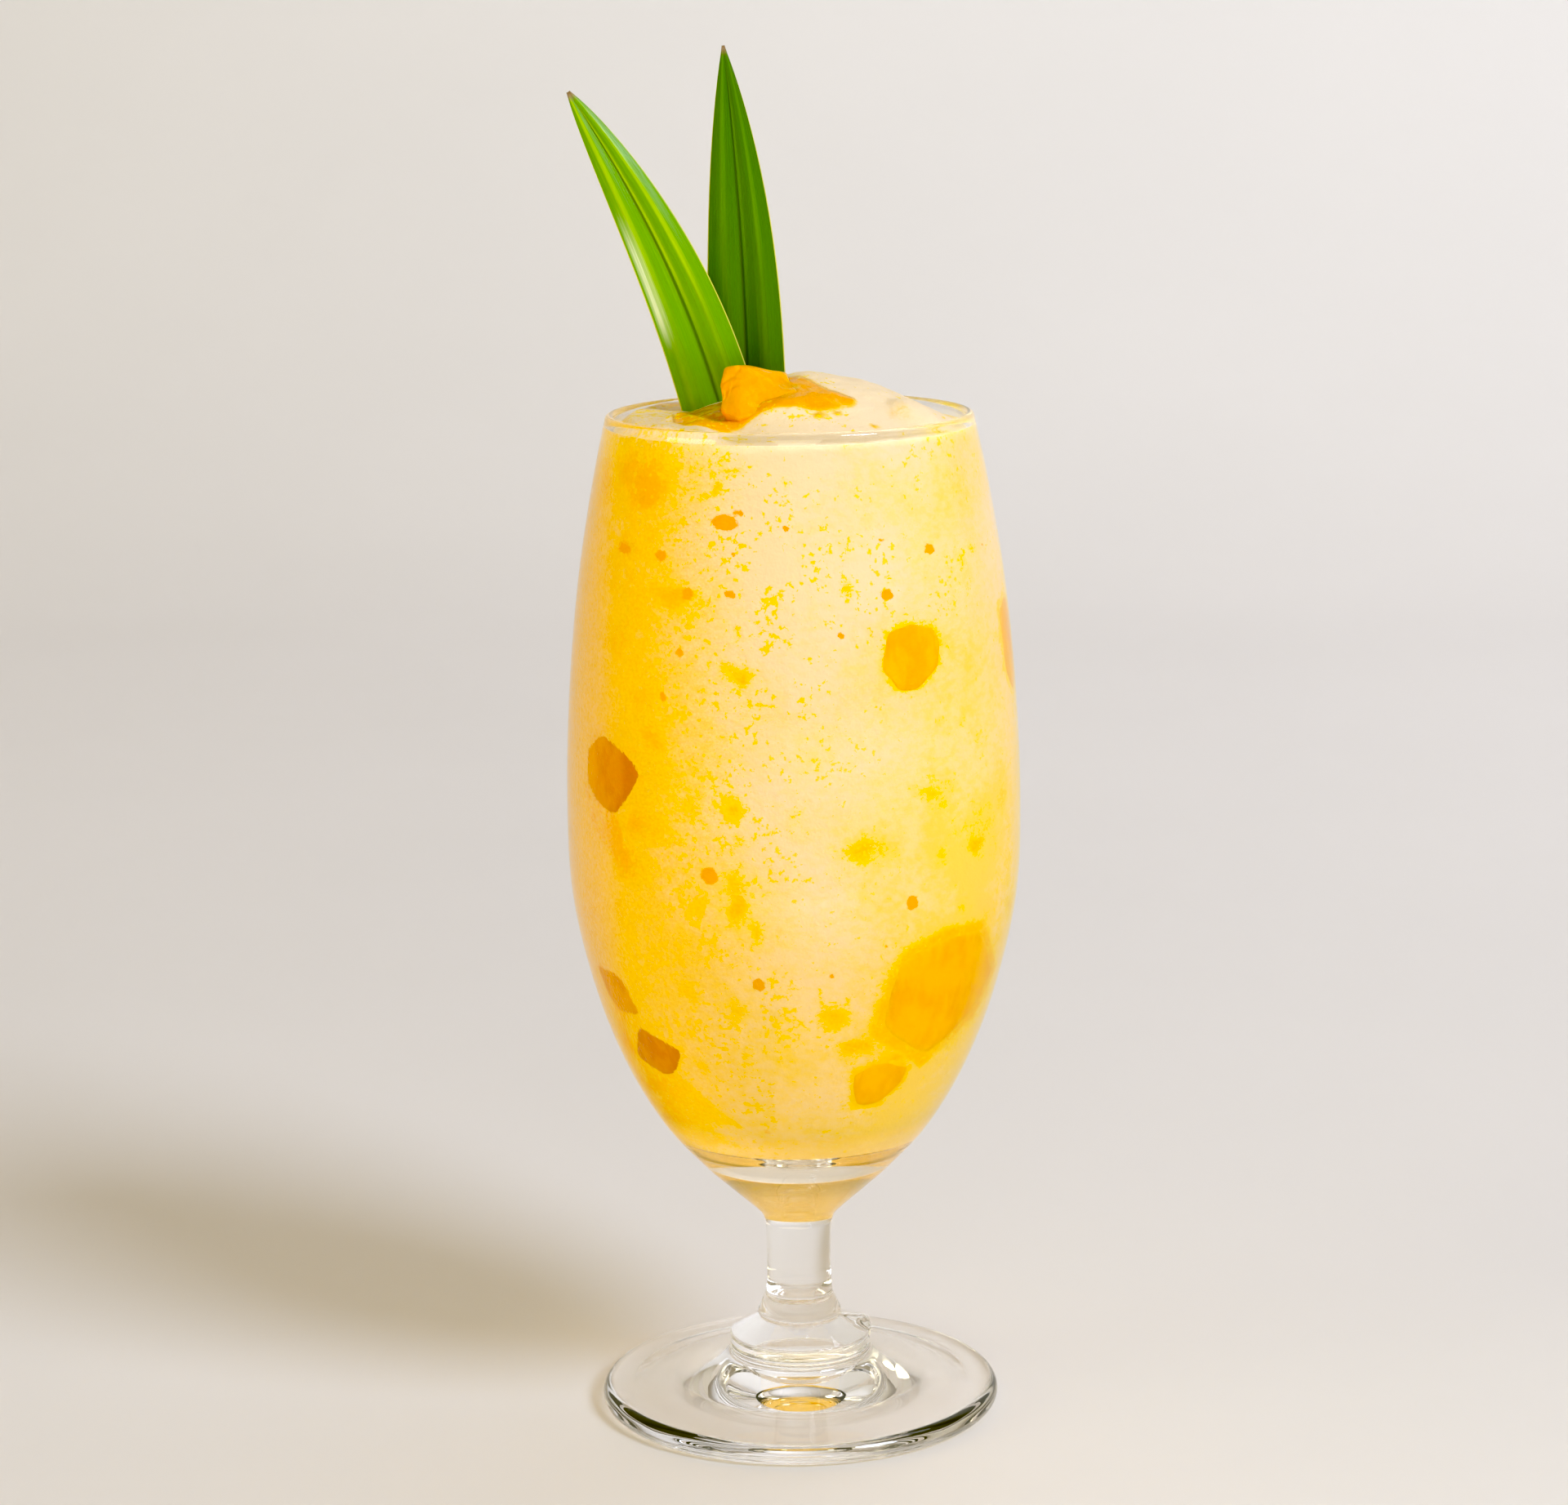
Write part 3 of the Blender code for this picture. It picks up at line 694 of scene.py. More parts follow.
def outline_distance(x, y, corners):
    """How far a point is outside an outline, or 0 inside it."""
    best, inside = math.inf, False
    here = Vector((x, y))
    for start, end in zip(corners, corners[1:] + corners[:1]):
        start, end = Vector(start), Vector(end)
        if (start.y > y) != (end.y > y):
            crossing = (end.x - start.x) * (y - start.y) / (end.y - start.y) + start.x
            inside = inside != (x < crossing)
        best = min(best, line_gap(here, start, end)[0])
    return 0.0 if inside else best


# (angle, height, strength, how far it spreads, corners) of puree with an outline of its own
PUREE_PATCHES = [
    (-57, 115, 1.5, 0.8, [(-5.5, -1), (3.5, -4.6), (6.2, -11.8), (1.2, -9.5), (-4, -5)]),
    (-60, 79.5, 0.75, 1.0, [(-7, 3), (-4, -4), (3, -5), (9, -14), (16, -22), (6, -20), (-5, -8)]),
]
# How strongly and how far in millimetres each piece colours the drink round it
HALOS = {
    "right_high": (0.62, 0.5), "left_low": (0.6, 0.7), "right_big": (0.9, 1.6), "right_low": (0.8, 0.9),
    "left_high": (0.6, 1.0),
}
PLAIN_HALO = (0.75, 1.2)


def halo_strength(angle, height, radius):
    """Puree round the pieces and in the patches that have an outline."""
    halos = [
        (middle, level, *HALOS.get(name, PLAIN_HALO), corners)
        for name, (middle, level, _, corners) in MANGO_PIECES.items()
    ]
    best = 0.0
    for middle, level, strength, spread, corners in halos + PUREE_PATCHES:
        up = height - level
        across = along_wall(angle - middle, radius)
        if abs(up) < 26.0 and abs(across) < 24.0:
            best = max(best, strength * math.exp(-((outline_distance(across, up, corners) / spread) ** 2)))
    return best


# How close together the drink's swirls lie, and how far they drag a mark in millimetres
SWIRLS = [(0.2, 1.7), (0.5, 0.5)]


def place_on_wall(point):
    """Angle from the front, height and distance from the axis."""
    return math.degrees(math.atan2(point.x, -point.y)), point.z, max(math.hypot(point.x, point.y), 1.0)


# Faint golden washes, full before the first angle: (angle from, angle to, height from, height to, strength)
STAINS = [(-44, -24, 98, 176, 0.52), (-52, -36, 48, 104, 0.62)]


def stain_strength(angle, height):
    """The wash of puree over the left of the glass."""
    best = 0.0
    for full, none, low, high, strength in STAINS:
        across = ease((none - angle) / (none - full)) if angle > -120 else ease((angle + 160) / 40)
        best = max(best, strength * across * ease((height - low) / 8) * ease((high - height) / 8))
    return best


def wall_fields(point):
    """Puree and dot strength at a point of the smoothie's side, in millimetres."""
    swirled = point.copy()
    for closeness, far in SWIRLS:
        swirled += noise.noise_vector(point * closeness) * far
    angle, height, radius = place_on_wall(swirled)
    puree = max(mark_strength(angle, height, radius, SMEARS + far_smears), stain_strength(angle, height))
    puree = max(puree, halo_strength(*place_on_wall(point)))
    return puree, mark_strength(*place_on_wall(point), DOTS + far_dots)


PUREE_ON_TOP = [
    (-18.4, -13.5), (-19.0, -5.0), (-17.0, 2.0), (-13.0, 0.5), (-8.0, -1.0), (-1.5, -1.5), (1.2, -2.6),
    (4.4, -7.4), (6.4, -9.8), (10.2, -10.8), (9.9, -12.2), (7.2, -13.4), (4.9, -13.8), (2.2, -13.2),
    (-1.8, -13.0), (-5.4, -13.4), (-8.8, -15.2), (-13.0, -17.2), (-16.5, -16.8),
]
# (x, y, half width, half depth, strength)
# The bit at (18.6, -11.2) warms the mound's shaded left side: painted shade, pale orange.
GOLDEN_BITS = [
    (5.0, -15.6, 1.6, 0.9, 0.85), (8.0, -14.9, 1.2, 0.7, 0.85), (-20.5, 14.5, 2.4, 2.8, 0.85),
    (14.0, -16.5, 0.8, 0.6, 0.8), (18.6, -11.2, 2.4, 1.8, 0.42), (24.0, -14.0, 2.0, 1.0, 0.35),
    (-24.0, -6.0, 3.0, 5.0, 0.12),
]
PALE_PATCH = (-0.5, -7.0, 2.0, 1.2)


def spot(x, y, middle_x, middle_y, wide, deep):
    """1 in the middle of a soft oval spot and 0 far off."""
    return math.exp(-(((x - middle_x) / wide) ** 2 + ((y - middle_y) / deep) ** 2))


def top_fields(point):
    """Puree strength on the top, where it lies round the chunk, and no dots."""
    x, y = point.x, point.y
    puree = 1.15 * math.exp(-((outline_distance(x, y, PUREE_ON_TOP) / 1.1) ** 2))
    for *oval, strength in GOLDEN_BITS:
        puree = max(puree, strength * spot(x, y, *oval))
    puree -= 0.7 * spot(x, y, *PALE_PATCH)
    return puree, 0.0


print("puree at the left top:", round(wall_fields(around(-50, 30, 166))[0], 2))

# %% [markdown]
# The drink's colour is a pale creamy yellow, mottled finely and drawn out
# sideways by the blender, with the torn golden patches of the puree field, the
# deeper dots, and specks of fruit everywhere. The puree is glossier than the
# foam. Light and shade are painted in too: a deeper left flank and grainy
# shade on the left, a pale haze of scattered light at the left edge, a lighter
# open top, and a brighter bottom with a faint painted glow for the light that soaks down.


# %% Smoothie finish
CREAM_LIGHT = rgb(252, 229, 190)
CREAM_DEEP = rgb(252, 221, 104)
PAINTED_LIGHT_BOTTOM = rgb(255, 228, 136)
PAINTED_MIST_HAZE = rgb(246, 213, 152)
PUREE_THIN = rgb(254, 222, 60)
PUREE_SOFT = rgb(253, 205, 88)
PUREE_THICK = rgb(252, 195, 14)
PUREE_ORANGE = rgb(250, 170, 4)
PAINTED_GRAINY_SHADE = rgb(238, 180, 34)
DOT_DEEP = rgb(244, 178, 12)
MIRROR_BELOW = 0.0530
MIRROR_FACING = 0.56


def cream_colour(tree, place, open_top, broad):
    """The drink between its patches: paler in the middle and high up, deeper at the flanks and below. The
    left flank's depth is partly puree and partly painted shade, the open top is painted lighter, and the
    bottom is painted a brighter yellow.
    """
    x, _, z = parts_of(tree, place)
    mottle = cloud(tree, own_place(tree, (1.0, 1.0, 1.5)), 520.0, 5.0, 0.6)
    right = ramp(tree, x, 0.002, 0.032, 0.0, 0.62)
    # Deeper on the left: partly puree, partly painted shade.
    left = ramp(tree, x, 0.000, -0.030, 0.0, 0.75)
    low = ramp(tree, z, 0.130, 0.060, 0.0, 0.45)
    high = ramp(tree, z, 0.128, 0.160, 0.0, -0.3)
    depth = added(
        tree,
        ramp(tree, mottle, 0.35, 0.7, 0.0, 0.35),
        ramp(tree, broad, 0.35, 0.7, -0.15, 0.3),
        right, left, low, high,
    )
    # The open top is painted lighter than the side: painted light from above.
    depth = calc(tree, "SUBTRACT", depth, times(tree, open_top, 0.7), clamp=True)
    colour = mix(tree, depth, CREAM_LIGHT, CREAM_DEEP)
    # The bottom is painted brighter: painted light where little light reaches it.
    return mix(tree, ramp(tree, z, 0.056, 0.049), colour, PAINTED_LIGHT_BOTTOM)


def torn_patch(tree, field, torn, soft):
    """A mask over a field, with a ragged edge."""
    return use_group(tree, RAGGED_EDGE, "Mask", field=field, raggedness=torn, softness=soft)


def puree_over(tree, colour, field, open_top, broad):
    """The puree laid over a colour: a faint wash, then torn patches that are deeper where it is thick."""
    thin = mix(tree, open_top, PUREE_THIN, PUREE_SOFT)
    faint = torn_patch(tree, calc(tree, "ADD", field, 0.1), 1.6, 0.35)
    colour = mix(tree, times(tree, faint, 0.6), colour, thin)
    torn = ramp(tree, open_top, 0.0, 1.0, 3.0, 0.9)
    soft = ramp(tree, open_top, 0.0, 1.0, 0.08, 0.22)
    patch = torn_patch(tree, field, torn, soft)
    uneven = times(tree, less(tree, broad, 0.5), 0.8)
    thick = torn_patch(tree, added(tree, field, uneven, -0.35), 1.2, 0.35)
    puree = mix(tree, thick, thin, mix(tree, open_top, PUREE_THICK, PUREE_ORANGE))
    return mix(tree, patch, colour, puree), patch


def specks_over(tree, colour, place):
    """Flecks everywhere, a pale painted haze of light at the left edge, grainy painted shade on the left, and
    the deep dots.
    """
    x, _, z = parts_of(tree, place)
    gathered = ramp(tree, cloud(tree, place, 110.0, 3.0, 0.6), 0.42, 0.66, -0.06, 0.07)
    more_left = times(tree, ramp(tree, x, 0.010, -0.016), 0.10)
    gathered = added(tree, gathered, more_left, 0.004)
    fleck = added(tree, cloud(tree, place, 900.0, 3.0, 0.6), gathered)
    colour = mix(tree, times(tree, ramp(tree, fleck, 0.64, 0.68), 0.9), colour, PUREE_THIN)
    speckle = ramp(tree, cloud(tree, place, 2300.0, 2.0), 0.35, 0.62)
    # A pale haze at the left edge: light scattered by the misted glass, painted on the drink.
    veil = times(tree, ramp(tree, x, -0.0265, -0.0325), ramp(tree, z, 0.062, 0.085))
    veil = times(tree, veil, added(tree, 0.35, times(tree, speckle, 0.5)))
    colour = mix(tree, veil, colour, PAINTED_MIST_HAZE)
    # Grainy painted shade over the left half, broken by the grain of the mist.
    grainy = times(tree, ramp(tree, x, 0.000, -0.026), 0.28)
    colour = mix(tree, times(tree, grainy, less(tree, 1.0, speckle)), colour, PAINTED_GRAINY_SHADE)
    dot = torn_patch(tree, drawn_value(tree, "dots"), 0.8, 0.1)
    return mix(tree, dot, colour, DOT_DEEP)


def smoothie_finish():
    finish, tree, shader = new_material("blended_mango")
    place = own_place(tree)
    _, _, z = parts_of(tree, place)
    broad = cloud(tree, place, 60.0, 3.0)
    open_top = ramp(tree, z, 0.1728, 0.1742)
    field = drawn_value(tree, "puree")
    colour = cream_colour(tree, place, open_top, broad)
    colour, patch = puree_over(tree, colour, field, open_top, broad)
    colour = specks_over(tree, colour, place)

    wet_top = times(tree, ramp(tree, field, 0.45, 1.1), open_top)
    ripples = times(tree, cloud(tree, place, 190.0, 2.0, 0.5, 0.6), times(tree, wet_top, 2.4))
    grain = added(tree, use_group(tree, WET_GRAIN, "Height", coarse=1.0, fine=0.35), ripples)
    look = {
        "Base Color": colour,
        "Roughness": less(tree, 0.55, times(tree, patch, 0.35)),
        "Normal": bumped(tree, grain, 0.00025),
        "Coat Weight": times(tree, wet_top, 0.3),
        "Coat Roughness": 0.05,
        "Specular IOR Level": 0.1,
        # A faint glow at the bottom: painted light for the light that soaks down.
        "Emission Color": (1.0, 0.56, 0.24, 1.0),
        "Emission Strength": ramp(tree, z, 0.0560, 0.0500, 0.0, 0.34),
    }
    fill(tree, shader, look)

    # Seen from below at a flat angle, the wet bottom mirrors the room
    grazing = new_node(tree, "ShaderNodeLayerWeight", {"Blend": 0.5}).outputs["Facing"]
    mirror = new_node(tree, "ShaderNodeBsdfGlossy", {"Color": (1.0, 0.94, 0.82, 1.0), "Roughness": 0.02})
    bottom = ramp(tree, z, MIRROR_BELOW, MIRROR_BELOW - 0.0004)
    mirrored = ramp(tree, grazing, MIRROR_FACING - 0.02, MIRROR_FACING + 0.02)
    mix_shaders(tree, times(tree, bottom, mirrored), shader, mirror)
    return finish


SMOOTHIE = smoothie_finish()
print("finish:", SMOOTHIE.name)

# %% [markdown]
# One closed spin again, with a point every 0.8 mm or closer, because the fields
# are drawn on the points. The rings of the top are lifted into the dome.

# %% The smoothie itself
SMOOTHIE_SEGMENTS = 224
TOP_RINGS = 64


def smoothie_profile():
    edge_radius = wall_radius(LEVEL) + REACH
    top = [Vector((edge_radius * k / TOP_RINGS, LEVEL)) for k in range(TOP_RINGS + 1)]
    side = [p for p in offset_inwards(bowl_inside(18), -REACH) if p.y < LEVEL - 0.4]
    side[-1].x = 0.0
    return top + side


smoothie_mesh = spun(smoothie_profile(), SMOOTHIE_SEGMENTS)
puree_layer = smoothie_mesh.verts.layers.float.new("puree")
dots_layer = smoothie_mesh.verts.layers.float.new("dots")
for point in smoothie_mesh.verts:
    if abs(point.co.z - LEVEL) < 0.001:
        point[puree_layer], point[dots_layer] = top_fields(point.co)
        point.co.z += surface_height(point.co.x, point.co.y)
    else:
        point[puree_layer], point[dots_layer] = wall_fields(point.co)
add_piece("smoothie_fill", smoothie_mesh, SMOOTHIE, "smoothie", "smoothie")

# %% [markdown]
# ## Mango flesh
#
# Ripe mango is a deep orange-yellow, wet and faintly see-through. The pieces
# against the wall fade to golden yellow at their soft edges, where the drink
# has begun to cover them, so their mesh carries how near the edge a point is.
# The pieces on the shaded left also carry painted shade, a brown-orange.


# %% Mango finish
MANGO_DEEP = rgb(246, 182, 8)
MANGO_RIPE = rgb(253, 198, 14)
MANGO_RIM = rgb(252, 212, 48)
MANGO_PAINTED_SHADE = rgb(208, 132, 8)


def mango_finish(name, gloss, shine, coat, scatter, deepened):
    """Mango flesh. Deepened is the share of orange that a thick body adds."""
    finish, tree, shader = new_material(name)
    strands = cloud(tree, own_place(tree, (1.0, 1.0, 0.35), (0.4, 0.5, 0.0)), 420.0, 4.0, 0.55, 0.6)
    cloudy = cloud(tree, own_place(tree), 130.0, 2.0)
    blend = added(tree, times(tree, strands, 0.5), times(tree, cloudy, 0.5))
    colour = mix(tree, ramp(tree, blend, 0.38, 0.6), MANGO_DEEP, MANGO_RIPE)
    colour = mix(tree, deepened, colour, rgb(250, 160, 2))
    patchy = ramp(tree, strands, 0.25, 0.6, 1.2, 0.8)
    # Painted shade: a brown-orange that darkens the pieces on the shaded left.
    painted_shade = calc(tree, "MULTIPLY", drawn_value(tree, "painted_shade"), patchy, clamp=True)
    colour = mix(tree, painted_shade, colour, MANGO_PAINTED_SHADE)
    rim = torn_patch(tree, drawn_value(tree, "rim"), 0.7, 0.2)
    hollows = times(tree, cloud(tree, own_place(tree), 170.0, 2.0, 0.5, 0.8), 18.0 * coat)
    grain = added(tree, use_group(tree, WET_GRAIN, "Height", coarse=0.8, fine=0.2), hollows)
    look = {
        "Base Color": mix(tree, rim, colour, MANGO_RIM),
        "Normal": bumped(tree, grain, 0.00025),
        "Roughness": ramp(tree, strands, 0.3, 0.7, gloss, gloss + 0.12),
        "Subsurface Weight": scatter,
        "Subsurface Radius": (1.0, 0.45, 0.05),
        "Subsurface Scale": 0.003,
        "Specular IOR Level": shine,
        "Coat Weight": coat,
        "Coat Roughness": 0.05,
    }
    fill(tree, shader, look)
    return finish


MANGO_AT_WALL = mango_finish("mango_at_wall", 0.4, 0.02, 0.0, 0.25, 0.0)
MANGO_WET = mango_finish("mango_wet", 0.3, 0.12, 0.3, 0.4, 0.6)
print("finishes:", MANGO_AT_WALL.name, MANGO_WET.name)

# %% [markdown]
# A piece at the wall starts as a small outline, which is extruded outwards ring
# by ring in its own plane, over a rounded edge and back into the drink, then
# wrapped on the glass. Cutting the outline's corners a few times rounds them as
# a blender does.


# %% Mango pieces at the wall
PIECE_LEVELS = [
    (0.12, 0.0), (0.35, 0.0), (0.58, 0.0), (0.76, 0.0), (0.88, 0.0), (0.95, 0.02), (1.0, 0.1),
    (1.01, 0.25), (0.99, 0.45), (0.93, 0.65), (0.82, 0.83), (0.62, 0.95), (0.34, 1.0),
]
FRUIT_REACH = 0.22
OUTLINE_NOISE = 0.35
CORNER_CUTS = [0.14, 0.25, 0.25]


def round_corners(corners, shares):
    """A closed outline with each corner cut off at a share of its edges, once for each share."""
    for share in shares:
        cut = []
        for start, end in zip(corners, corners[1:] + corners[:1]):
            start, end = Vector(start), Vector(end)
            cut += [start.lerp(end, share), start.lerp(end, 1 - share)]
        corners = cut
    return corners


# How much painted shade a piece has, how wide its golden fringe is, and how far the painted shade leans to
# its right side
TONES = {
    "left_high": (0.75, 0.4, 0.5), "left_strip": (0.5, 0.8, 0.3), "left_low": (1.0, 0.2, 0.2),
    "right_big": (0.0, 1.3, 0.0),
}
PLAIN_TONE = (0.0, 1.0, 0.0)


def wall_piece(angle, height, depth, corners, tone):
    """A mango piece wrapped on the wall, with how near its rim each point is and how much painted shade it
    has.
    """
    bm = bmesh.new()
    rim = bm.verts.layers.float.new("rim")
    painted_shade = bm.verts.layers.float.new("painted_shade")
    shade_share, fringe, lean = tone
    size = PIECE_LEVELS[0][0]
    ring_points = [bm.verts.new((p.x * size, p.y * size, 0.0)) for p in round_corners(corners, CORNER_CUTS)]
    ring = [bm.edges.new(pair) for pair in zip(ring_points, ring_points[1:] + ring_points[:1])]
    front = bmesh.ops.edgeloop_fill(bm, edges=ring)["faces"]
    for (small, near), (large, deep) in zip(PIECE_LEVELS, PIECE_LEVELS[1:]):
        grown = bmesh.ops.extrude_edge_only(bm, edges=ring)["geom"]
        ring = [g for g in grown if isinstance(g, bmesh.types.BMEdge)]
        new = [g for g in grown if isinstance(g, bmesh.types.BMVert)]
        bmesh.ops.scale(bm, vec=(large / small, large / small, 1), verts=new)
        bmesh.ops.translate(bm, vec=(0, 0, deep - near), verts=new)
        for point in new:
            point[rim] = fringe * ease((large - 0.55) / 0.9)
    back = bmesh.ops.edgeloop_fill(bm, edges=ring)["faces"]
    bmesh.ops.poke(bm, faces=front + back)
    middle_radius = wall_radius(height)
    for point in bm.verts:
        point[painted_shade] = shade_share + lean * point.co.x / 8.0
        shift = noise.noise_vector(Vector((point.co.x, point.co.y, angle)) * 0.35) * OUTLINE_NOISE
        up = height + point.co.y + shift.y
        turn = angle + math.degrees((point.co.x + shift.x) / middle_radius)
        inwards = depth * point.co.z * (1 + 0.25 * shift.z)
        point.co = around(turn, wall_radius(up) + FRUIT_REACH - inwards, up)
    bmesh.ops.recalc_face_normals(bm, faces=bm.faces)
    return bm


for piece_name, (angle, height, depth, corners) in MANGO_PIECES.items():
    fruit_mesh = wall_piece(angle, height, depth, corners, TONES.get(piece_name, PLAIN_TONE))
    add_piece(f"fruit_{piece_name}", fruit_mesh, MANGO_AT_WALL, "mango", f"mango_{piece_name}")

# %% [markdown]
# The chunk on top was cut with a knife, so it has flat facets that meet in soft
# edges. Its corners make a hull, the edges are bevelled, and then the faces are
# divided and moved a little by noise, so that its gloss breaks up.

# %% The big chunk on top
CHUNK_CORNERS = [
    (-8.3, -6.0, 8.9), (-10.8, -4.6, 8.3), (-11.7, -7.2, 5.6), (-11.6, -12.0, 1.8), (-8.4, -15.0, 0.6),
    (-2.0, -13.0, 2.2), (1.6, -9.4, 4.6), (-4.4, -2.8, 7.5), (-0.6, -3.2, 7.0), (-10.6, -1.2, 4.6),
    (-0.5, -0.8, 4.2), (-9.8, -4.0, -4.4), (-6.5, -11.2, -4.2), (-0.8, -4.8, -3.6),
]
chunk_mesh = bmesh.new()
corner_points = [chunk_mesh.verts.new((x, y, HEIGHT + z)) for x, y, z in CHUNK_CORNERS]
hull = bmesh.ops.convex_hull(chunk_mesh, input=corner_points)
spare = {g for g in hull["geom_interior"] + hull["geom_unused"] if isinstance(g, bmesh.types.BMVert)}
bmesh.ops.delete(chunk_mesh, geom=list(spare), context="VERTS")
bmesh.ops.dissolve_limit(
    chunk_mesh, angle_limit=math.radians(6), verts=chunk_mesh.verts, edges=chunk_mesh.edges
)
bmesh.ops.bevel(
    chunk_mesh, geom=list(chunk_mesh.edges), offset=0.4, segments=2, profile=0.5, affect="EDGES", material=-1
)
bmesh.ops.triangulate(chunk_mesh, faces=chunk_mesh.faces)
bmesh.ops.subdivide_edges(chunk_mesh, edges=chunk_mesh.edges, cuts=3, use_grid_fill=True)
# The chunk has no golden fringe and no painted shade: both fields stay 0.
chunk_mesh.verts.layers.float.new("rim")
chunk_mesh.verts.layers.float.new("painted_shade")
# Where the knife and the blender scooped it: place, radius and depth
CHUNK_HOLLOWS = [
    ((-4.6, -11.0, 179.0), 2.8, 1.5), ((-0.8, -8.0, 181.8), 2.2, 1.1), ((-10.4, -9.0, 179.6), 2.0, 0.7),
]
chunk_mesh.normal_update()
for point in chunk_mesh.verts:
    swell = 0.30 * noise.noise(point.co * 0.3) + 0.14 * noise.noise(point.co * 0.7)
    for middle, radius, scooped in CHUNK_HOLLOWS:
        swell -= scooped * math.exp(-(((point.co - Vector(middle)).length / radius) ** 2))
    point.co += point.normal * swell
add_piece("mango_top", chunk_mesh, MANGO_WET, "mango", "mango_chunk", sharp=180)

# %% [markdown]
# ## The leaves
#
# Two long leaves cut to points stand in the smoothie. Across, a leaf is a soft
# M with its midrib in the valley, and its veins run side by side from base to
# tip. A grid is bent along the leaf's middle line and narrowed to the tip, and
# its UV map says how far across and how far along each point is, so the
# streaks follow the leaf however it bends.

# %% Leaf shapes
LEAF_RIDGE = 1.2
LEAF_TIP_SHARE = 0.995
LEAF_THICKNESS = 0.6
LEAVES = {
    "leaf_left": ([(-8.6, 5.5, 160.0), (-13.6, 3.5, 194.0), (-36.6, 3.0, 229.4)], 12.9, 0.8),
    "leaf_right": ([(-7.3, 10.0, 160.0), (-6.6, 9.0, 198.0), (-10.5, 9.8, 236.6)], 13.5, 0.95),
}
LEAF_ROWS = 90
LEAF_COLUMNS = 24


def leaf_point(line, width, narrowing, share, side):
    """A point of the leaf: share runs from base 0 to tip 1, side from -1 to 1 across."""
    base, bend, tip = (Vector(p) for p in line)
    middle = base * (1 - share) ** 2 + bend * 2 * share * (1 - share) + tip * share**2
    along = ((bend - base) * (1 - share) + (tip - bend) * share).normalized()
    across = along.cross(Vector((0, 1, 0))).normalized()
    out = across.cross(along)
    taper = (1 - max(share, 0.0) ** 3) ** narrowing
    ridge = LEAF_RIDGE * taper * (1 - math.cos(math.tau * side)) / 2
    wave = 0.25 * taper * side * math.sin(9.0 * share + 2.0 * side)
    return middle + across * side * width / 2 * taper - out * (ridge + wave)


def leaf_mesh(line, width, narrowing):
    """A flat grid bent into the leaf, with its UV map."""
    bm = bmesh.new()
    bmesh.ops.create_grid(bm, x_segments=LEAF_COLUMNS, y_segments=LEAF_ROWS, size=1.0)
    across_along = bm.loops.layers.uv.new("across_along")
    for face in bm.faces:
        for corner in face.loops:
            corner[across_along].uv = ((corner.vert.co.x + 1) / 2, (corner.vert.co.y + 1) / 2)
    for point in bm.verts:
        share = LEAF_TIP_SHARE * (point.co.y + 1) / 2
        point.co = leaf_point(line, width, narrowing, share, point.co.x)
    return bm


for leaf_name, (line, _, _) in LEAVES.items():
    print(leaf_name, "is about", round((Vector(line[2]) - Vector(line[0])).length), "mm long")

# %% [markdown]
# The green runs in streaks: a dark midrib with a light strip beside it, fine
# dark and light veins, thin yellowish margins and a browned tip. The waxy skin
# has a clear gloss, a pale painted highlight runs along the left leaf's outer
# side, and some light passes through the blade.


# %% Leaf finish
def leaf_finish(name, dark, middle, light, painted_highlight):
    """A leaf in three greens. The last value is how strong the pale painted highlight along its left side is.
    """
    finish, tree, shader = new_material(name)
    uv = tree.nodes.new("ShaderNodeUVMap")
    uv.uv_map = "across_along"
    across, along, _ = parts_of(tree, uv.outputs["UV"])
    streaks = {"Vector": uv.outputs["UV"], "Scale": (1.0, 0.06, 1.0)}
    streaks = new_node(tree, "ShaderNodeMapping", streaks).outputs["Vector"]
    veins = cloud(tree, streaks, 26.0, 4.0, 0.6)
    bands = cloud(tree, streaks, 7.0, 2.0, 0.5)
    upper = ramp(tree, along, 0.40, 0.62, 0.25, 1.0)
    colour = mix(tree, times(tree, ramp(tree, bands, 0.46, 0.70), upper), middle, light)
    colour = mix(tree, ramp(tree, veins, 0.52, 0.75, 0.0, 0.55), colour, dark)
    strip = ramp(tree, calc(tree, "ABSOLUTE", less(tree, across, 0.43)), 0.0, 0.05, 0.75, 0.0)
    colour = mix(tree, times(tree, strip, upper), colour, light)
    off_rib = calc(tree, "ABSOLUTE", less(tree, across, 0.5))
    rib = ramp(tree, off_rib, 0.0, 0.045, 0.85, 0.0)
    colour = mix(tree, rib, colour, dark)
    margin = ramp(tree, off_rib, 0.478, 0.495)
    colour = mix(tree, margin, colour, rgb(214, 206, 110))
    # A pale painted highlight in streaks along the leaf's left side.
    highlight_mask = times(tree, ramp(tree, across, 0.76, 0.86), ramp(tree, across, 0.97, 0.90))
    highlight_mask = times(tree, highlight_mask, times(tree, ramp(tree, along, 0.38, 0.50), ramp(tree, along, 0.76, 0.60)))
    highlight_mask = times(tree, highlight_mask, ramp(tree, veins, 0.36, 0.60, 0.25, painted_highlight))
    colour = mix(tree, times(tree, highlight_mask, painted_highlight), colour, rgb(226, 234, 204))
    colour = mix(tree, ramp(tree, along, 0.975, 0.995), colour, rgb(140, 112, 84))
    rounded = less(tree, times(tree, veins, 0.6), times(tree, rib, 0.8))
    look = {
        "Base Color": colour,
        "Roughness": ramp(tree, veins, 0.3, 0.7, 0.20, 0.34),
        "Normal": bumped(tree, rounded, 0.0002),
        "Subsurface Weight": 0.15,
        "Subsurface Radius": (0.5, 1.0, 0.1),
        "Subsurface Scale": 0.001,
    }
    fill(tree, shader, look)
    return finish


